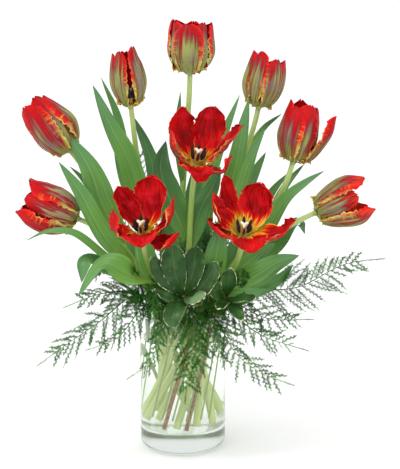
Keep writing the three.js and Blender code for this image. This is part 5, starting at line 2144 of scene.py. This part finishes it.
def fronds() -> list[Frond]:
    """The plumosa fronds: thirteen with solids of their own, and fifteen short ones.

    Returns:
        The fronds, in the order of their numbers.
    """
    routes: list[tuple[int, float, tuple[Point, ...], float, Point]] = [
        (
            1, 214, ((-58, -62, 196), (-90, -75, 172), (-124, -84, 150), (-160, -88, 124)),
            36, (-0.3, -0.8, 0.7),
        ),
        (2, 192, ((-64, -34, 196), (-96, -52, 196), (-132, -62, 184)), 30, (-0.2, -0.8, 0.6)),
        (3, 228, ((-48, -76, 182), (-70, -92, 158), (-104, -100, 146)), 26, (0, -1, 0.5)),
        (4, -8, ((80, -30, 196), (130, -56, 206), (182, -62, 234), (226, -60, 240)), 40, (0, -1, 0.3)),
        (5, -22, ((62, -52, 186), (96, -78, 176), (146, -82, 176)), 28, (0, -1, 0.4)),
        (6, -44, ((56, -72, 180), (88, -88, 160), (140, -96, 144)), 30, (0, -1, 0.4)),
        (7, -64, ((40, -78, 172), (62, -92, 138), (92, -98, 118), (124, -100, 106)), 32, (0.2, -1, 0.4)),
        (8, -80, ((14, -80, 176), (12, -90, 140), (6, -88, 106), (4, -82, 78)), 34, (0, -1, 0.1)),
        (9, -98, ((-12, -76, 184), (-22, -90, 160), (-36, -94, 130), (-60, -92, 110)), 20, (0, -1, 0.3)),
        (10, 108, ((-30, 58, 250), (-46, 66, 310), (-60, 70, 372)), 22, (0.2, -1, 0.2)),
        (11, 72, ((46, 62, 250), (70, 72, 310), (92, 78, 366)), 22, (0, -1, 0.2)),
        (12, 144, ((-62, 52, 204), (-96, 74, 196), (-124, 88, 172)), 28, (-0.4, 0.6, 0.8)),
        (13, 36, ((62, 56, 200), (94, 80, 188), (120, 96, 162)), 28, (0.4, 0.6, 0.8)),
        (14, 241, ((-30, -78, 212), (-30, -90, 182), (-27, -92, 142)), 15, (0, -1, 0.2)),
        (15, 90, ((2, 66, 206), (4, 84, 206), (2, 100, 192)), 26, (0, 0.6, 0.8)),
        (16, 247, ((-24, -56, 196), (-21, -48, 226), (-18, -40, 252)), 18, (0, -1, 0)),
        (17, -50, ((28, -40, 210), (30, -28, 240), (34, -18, 292)), 24, (0, -1, 0)),
        (18, 234, ((-30, -60, 190), (-31, -56, 215), (-29, -50, 240)), 16, (0, -1, 0)),
        (19, 254, ((-16, -68, 178), (-24, -78, 158), (-27, -78, 128)), 18, (0, -1, 0.2)),
        (20, -84, ((0, -58, 200), (2, -56, 226), (5, -48, 262)), 24, (0, -1, 0)),
        (21, -30, ((50, -54, 196), (66, -58, 214), (88, -54, 232)), 22, (0, -1, 0.3)),
        (22, -57, ((32, -76, 178), (42, -90, 152), (48, -94, 122)), 28, (0, -1, 0.2)),
        (23, -88, ((16, -78, 174), (20, -90, 148), (26, -92, 112)), 28, (0, -1, 0.2)),
        (24, 205, ((-50, -46, 196), (-58, -44, 218), (-70, -40, 238)), 22, (0, -1, 0.3)),
        (25, 100, ((-8, 44, 200), (-18, 44, 250), (-32, 40, 320)), 20, (0, -1, 0)),
        (26, 80, ((12, 44, 200), (22, 40, 260), (30, 36, 330)), 20, (0, -1, 0)),
        (27, 60, ((36, 36, 200), (54, 30, 240), (72, 26, 290)), 20, (0, -1, 0)),
        (28, 120, ((-36, 36, 200), (-56, 32, 236), (-78, 30, 280)), 20, (0, -1, 0)),
    ]
    return [Frond(*route) for route in routes]


# -------------------- studio


@dataclass(frozen=True)
class Lamp:
    """A soft square lamp: its place and side are in metres, its power in watts."""

    name: str
    place: Point
    side: float
    power: float

    def hang(self, target: Point) -> None:
        """Hangs the lamp.

        Args:
            target: The point that it shines at.
        """
        light = bpy.data.lights.new(self.name, "AREA")
        light.size = self.side
        light.energy = self.power
        lamp = bpy.data.objects.new(self.name, light)
        aim = np.array(target) - np.array(self.place)
        tilt = math.atan2(math.hypot(aim[0], aim[1]), -aim[2])
        turn = math.atan2(aim[1], aim[0]) - math.pi / 2
        lamp.location = self.place
        lamp.rotation_euler = (tilt, 0, turn)
        bpy.context.scene.collection.objects.link(lamp)


@dataclass
class Studio:
    """A plain pale floor, soft light and the camera, in metres and degrees.

    The floor lies floor_drop under the vase, sky is the strength of the plain light all
    round, and the camera looks down by camera_pitch.
    """

    floor_size: float = 8.0
    floor_drop: float = 0.0004
    floor_finish: FloorFinish = FloorFinish()
    sky: float = 1.1
    key: Lamp = Lamp("key", (-0.8, -0.65, 1.75), side=0.45, power=14.0)
    fill: Lamp = Lamp("fill", (1.4, -1.0, 0.9), side=1.2, power=5.0)
    lamp_target: Point = (0.0, 0.0, 0.25)
    camera_place: Point = (0.0207, -1.2, 0.497)
    camera_pitch: float = 11.4
    focal: float = 80.67
    sensor_width: float = 36

    def build_floor(self) -> None:
        """Lays the floor just under the vase."""
        bpy.ops.mesh.primitive_plane_add(size=self.floor_size, location=(0, 0, -self.floor_drop))
        floor = bpy.context.object
        floor.name = "floor"
        floor.data.materials.append(self.floor_finish.material("pale floor"))

    def build_sky(self) -> None:
        """Fills the room with plain white light."""
        world = bpy.data.worlds.new("studio")
        bpy.context.scene.world = world
        world.use_nodes = True
        background = world.node_tree.nodes["Background"]
        background.inputs[0].default_value = (1, 1, 1, 1)
        background.inputs[1].default_value = self.sky

    def build_camera(self) -> None:
        """Sets up the camera in front of the arrangement, looking slightly down."""
        camera = bpy.data.cameras.new("camera")
        camera.lens = self.focal
        camera.sensor_width = self.sensor_width
        view = bpy.data.objects.new("camera", camera)
        view.location = self.camera_place
        view.rotation_euler = (math.radians(90 - self.camera_pitch), 0, 0)
        bpy.context.scene.collection.objects.link(view)
        bpy.context.scene.camera = view

    def build(self) -> None:
        """Builds everything round the arrangement, and lets light pass many clear walls."""
        self.build_floor()
        self.build_sky()
        self.key.hang(self.lamp_target)
        self.fill.hang(self.lamp_target)
        self.build_camera()
        scene = bpy.context.scene
        scene.view_settings.view_transform = "Standard"
        scene.cycles.use_denoising = True
        scene.cycles.max_bounces = 24
        scene.cycles.glossy_bounces = 16
        scene.cycles.transmission_bounces = 24
        scene.cycles.transparent_max_bounces = 32


def main() -> None:
    """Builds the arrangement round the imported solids."""
    logging.basicConfig(level=logging.INFO, format="%(name)s: %(message)s")
    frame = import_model()
    LOG.info("packed nodes: %d", len(frame["nodes"]))
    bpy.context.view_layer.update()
    vase = Vase()
    vase.build_glass()
    vase.build_water()
    for plant in [*tulips(), *sprigs(), *fronds()]:
        plant.build(vase)
    Studio().build()


if __name__ == "__main__":
    main()
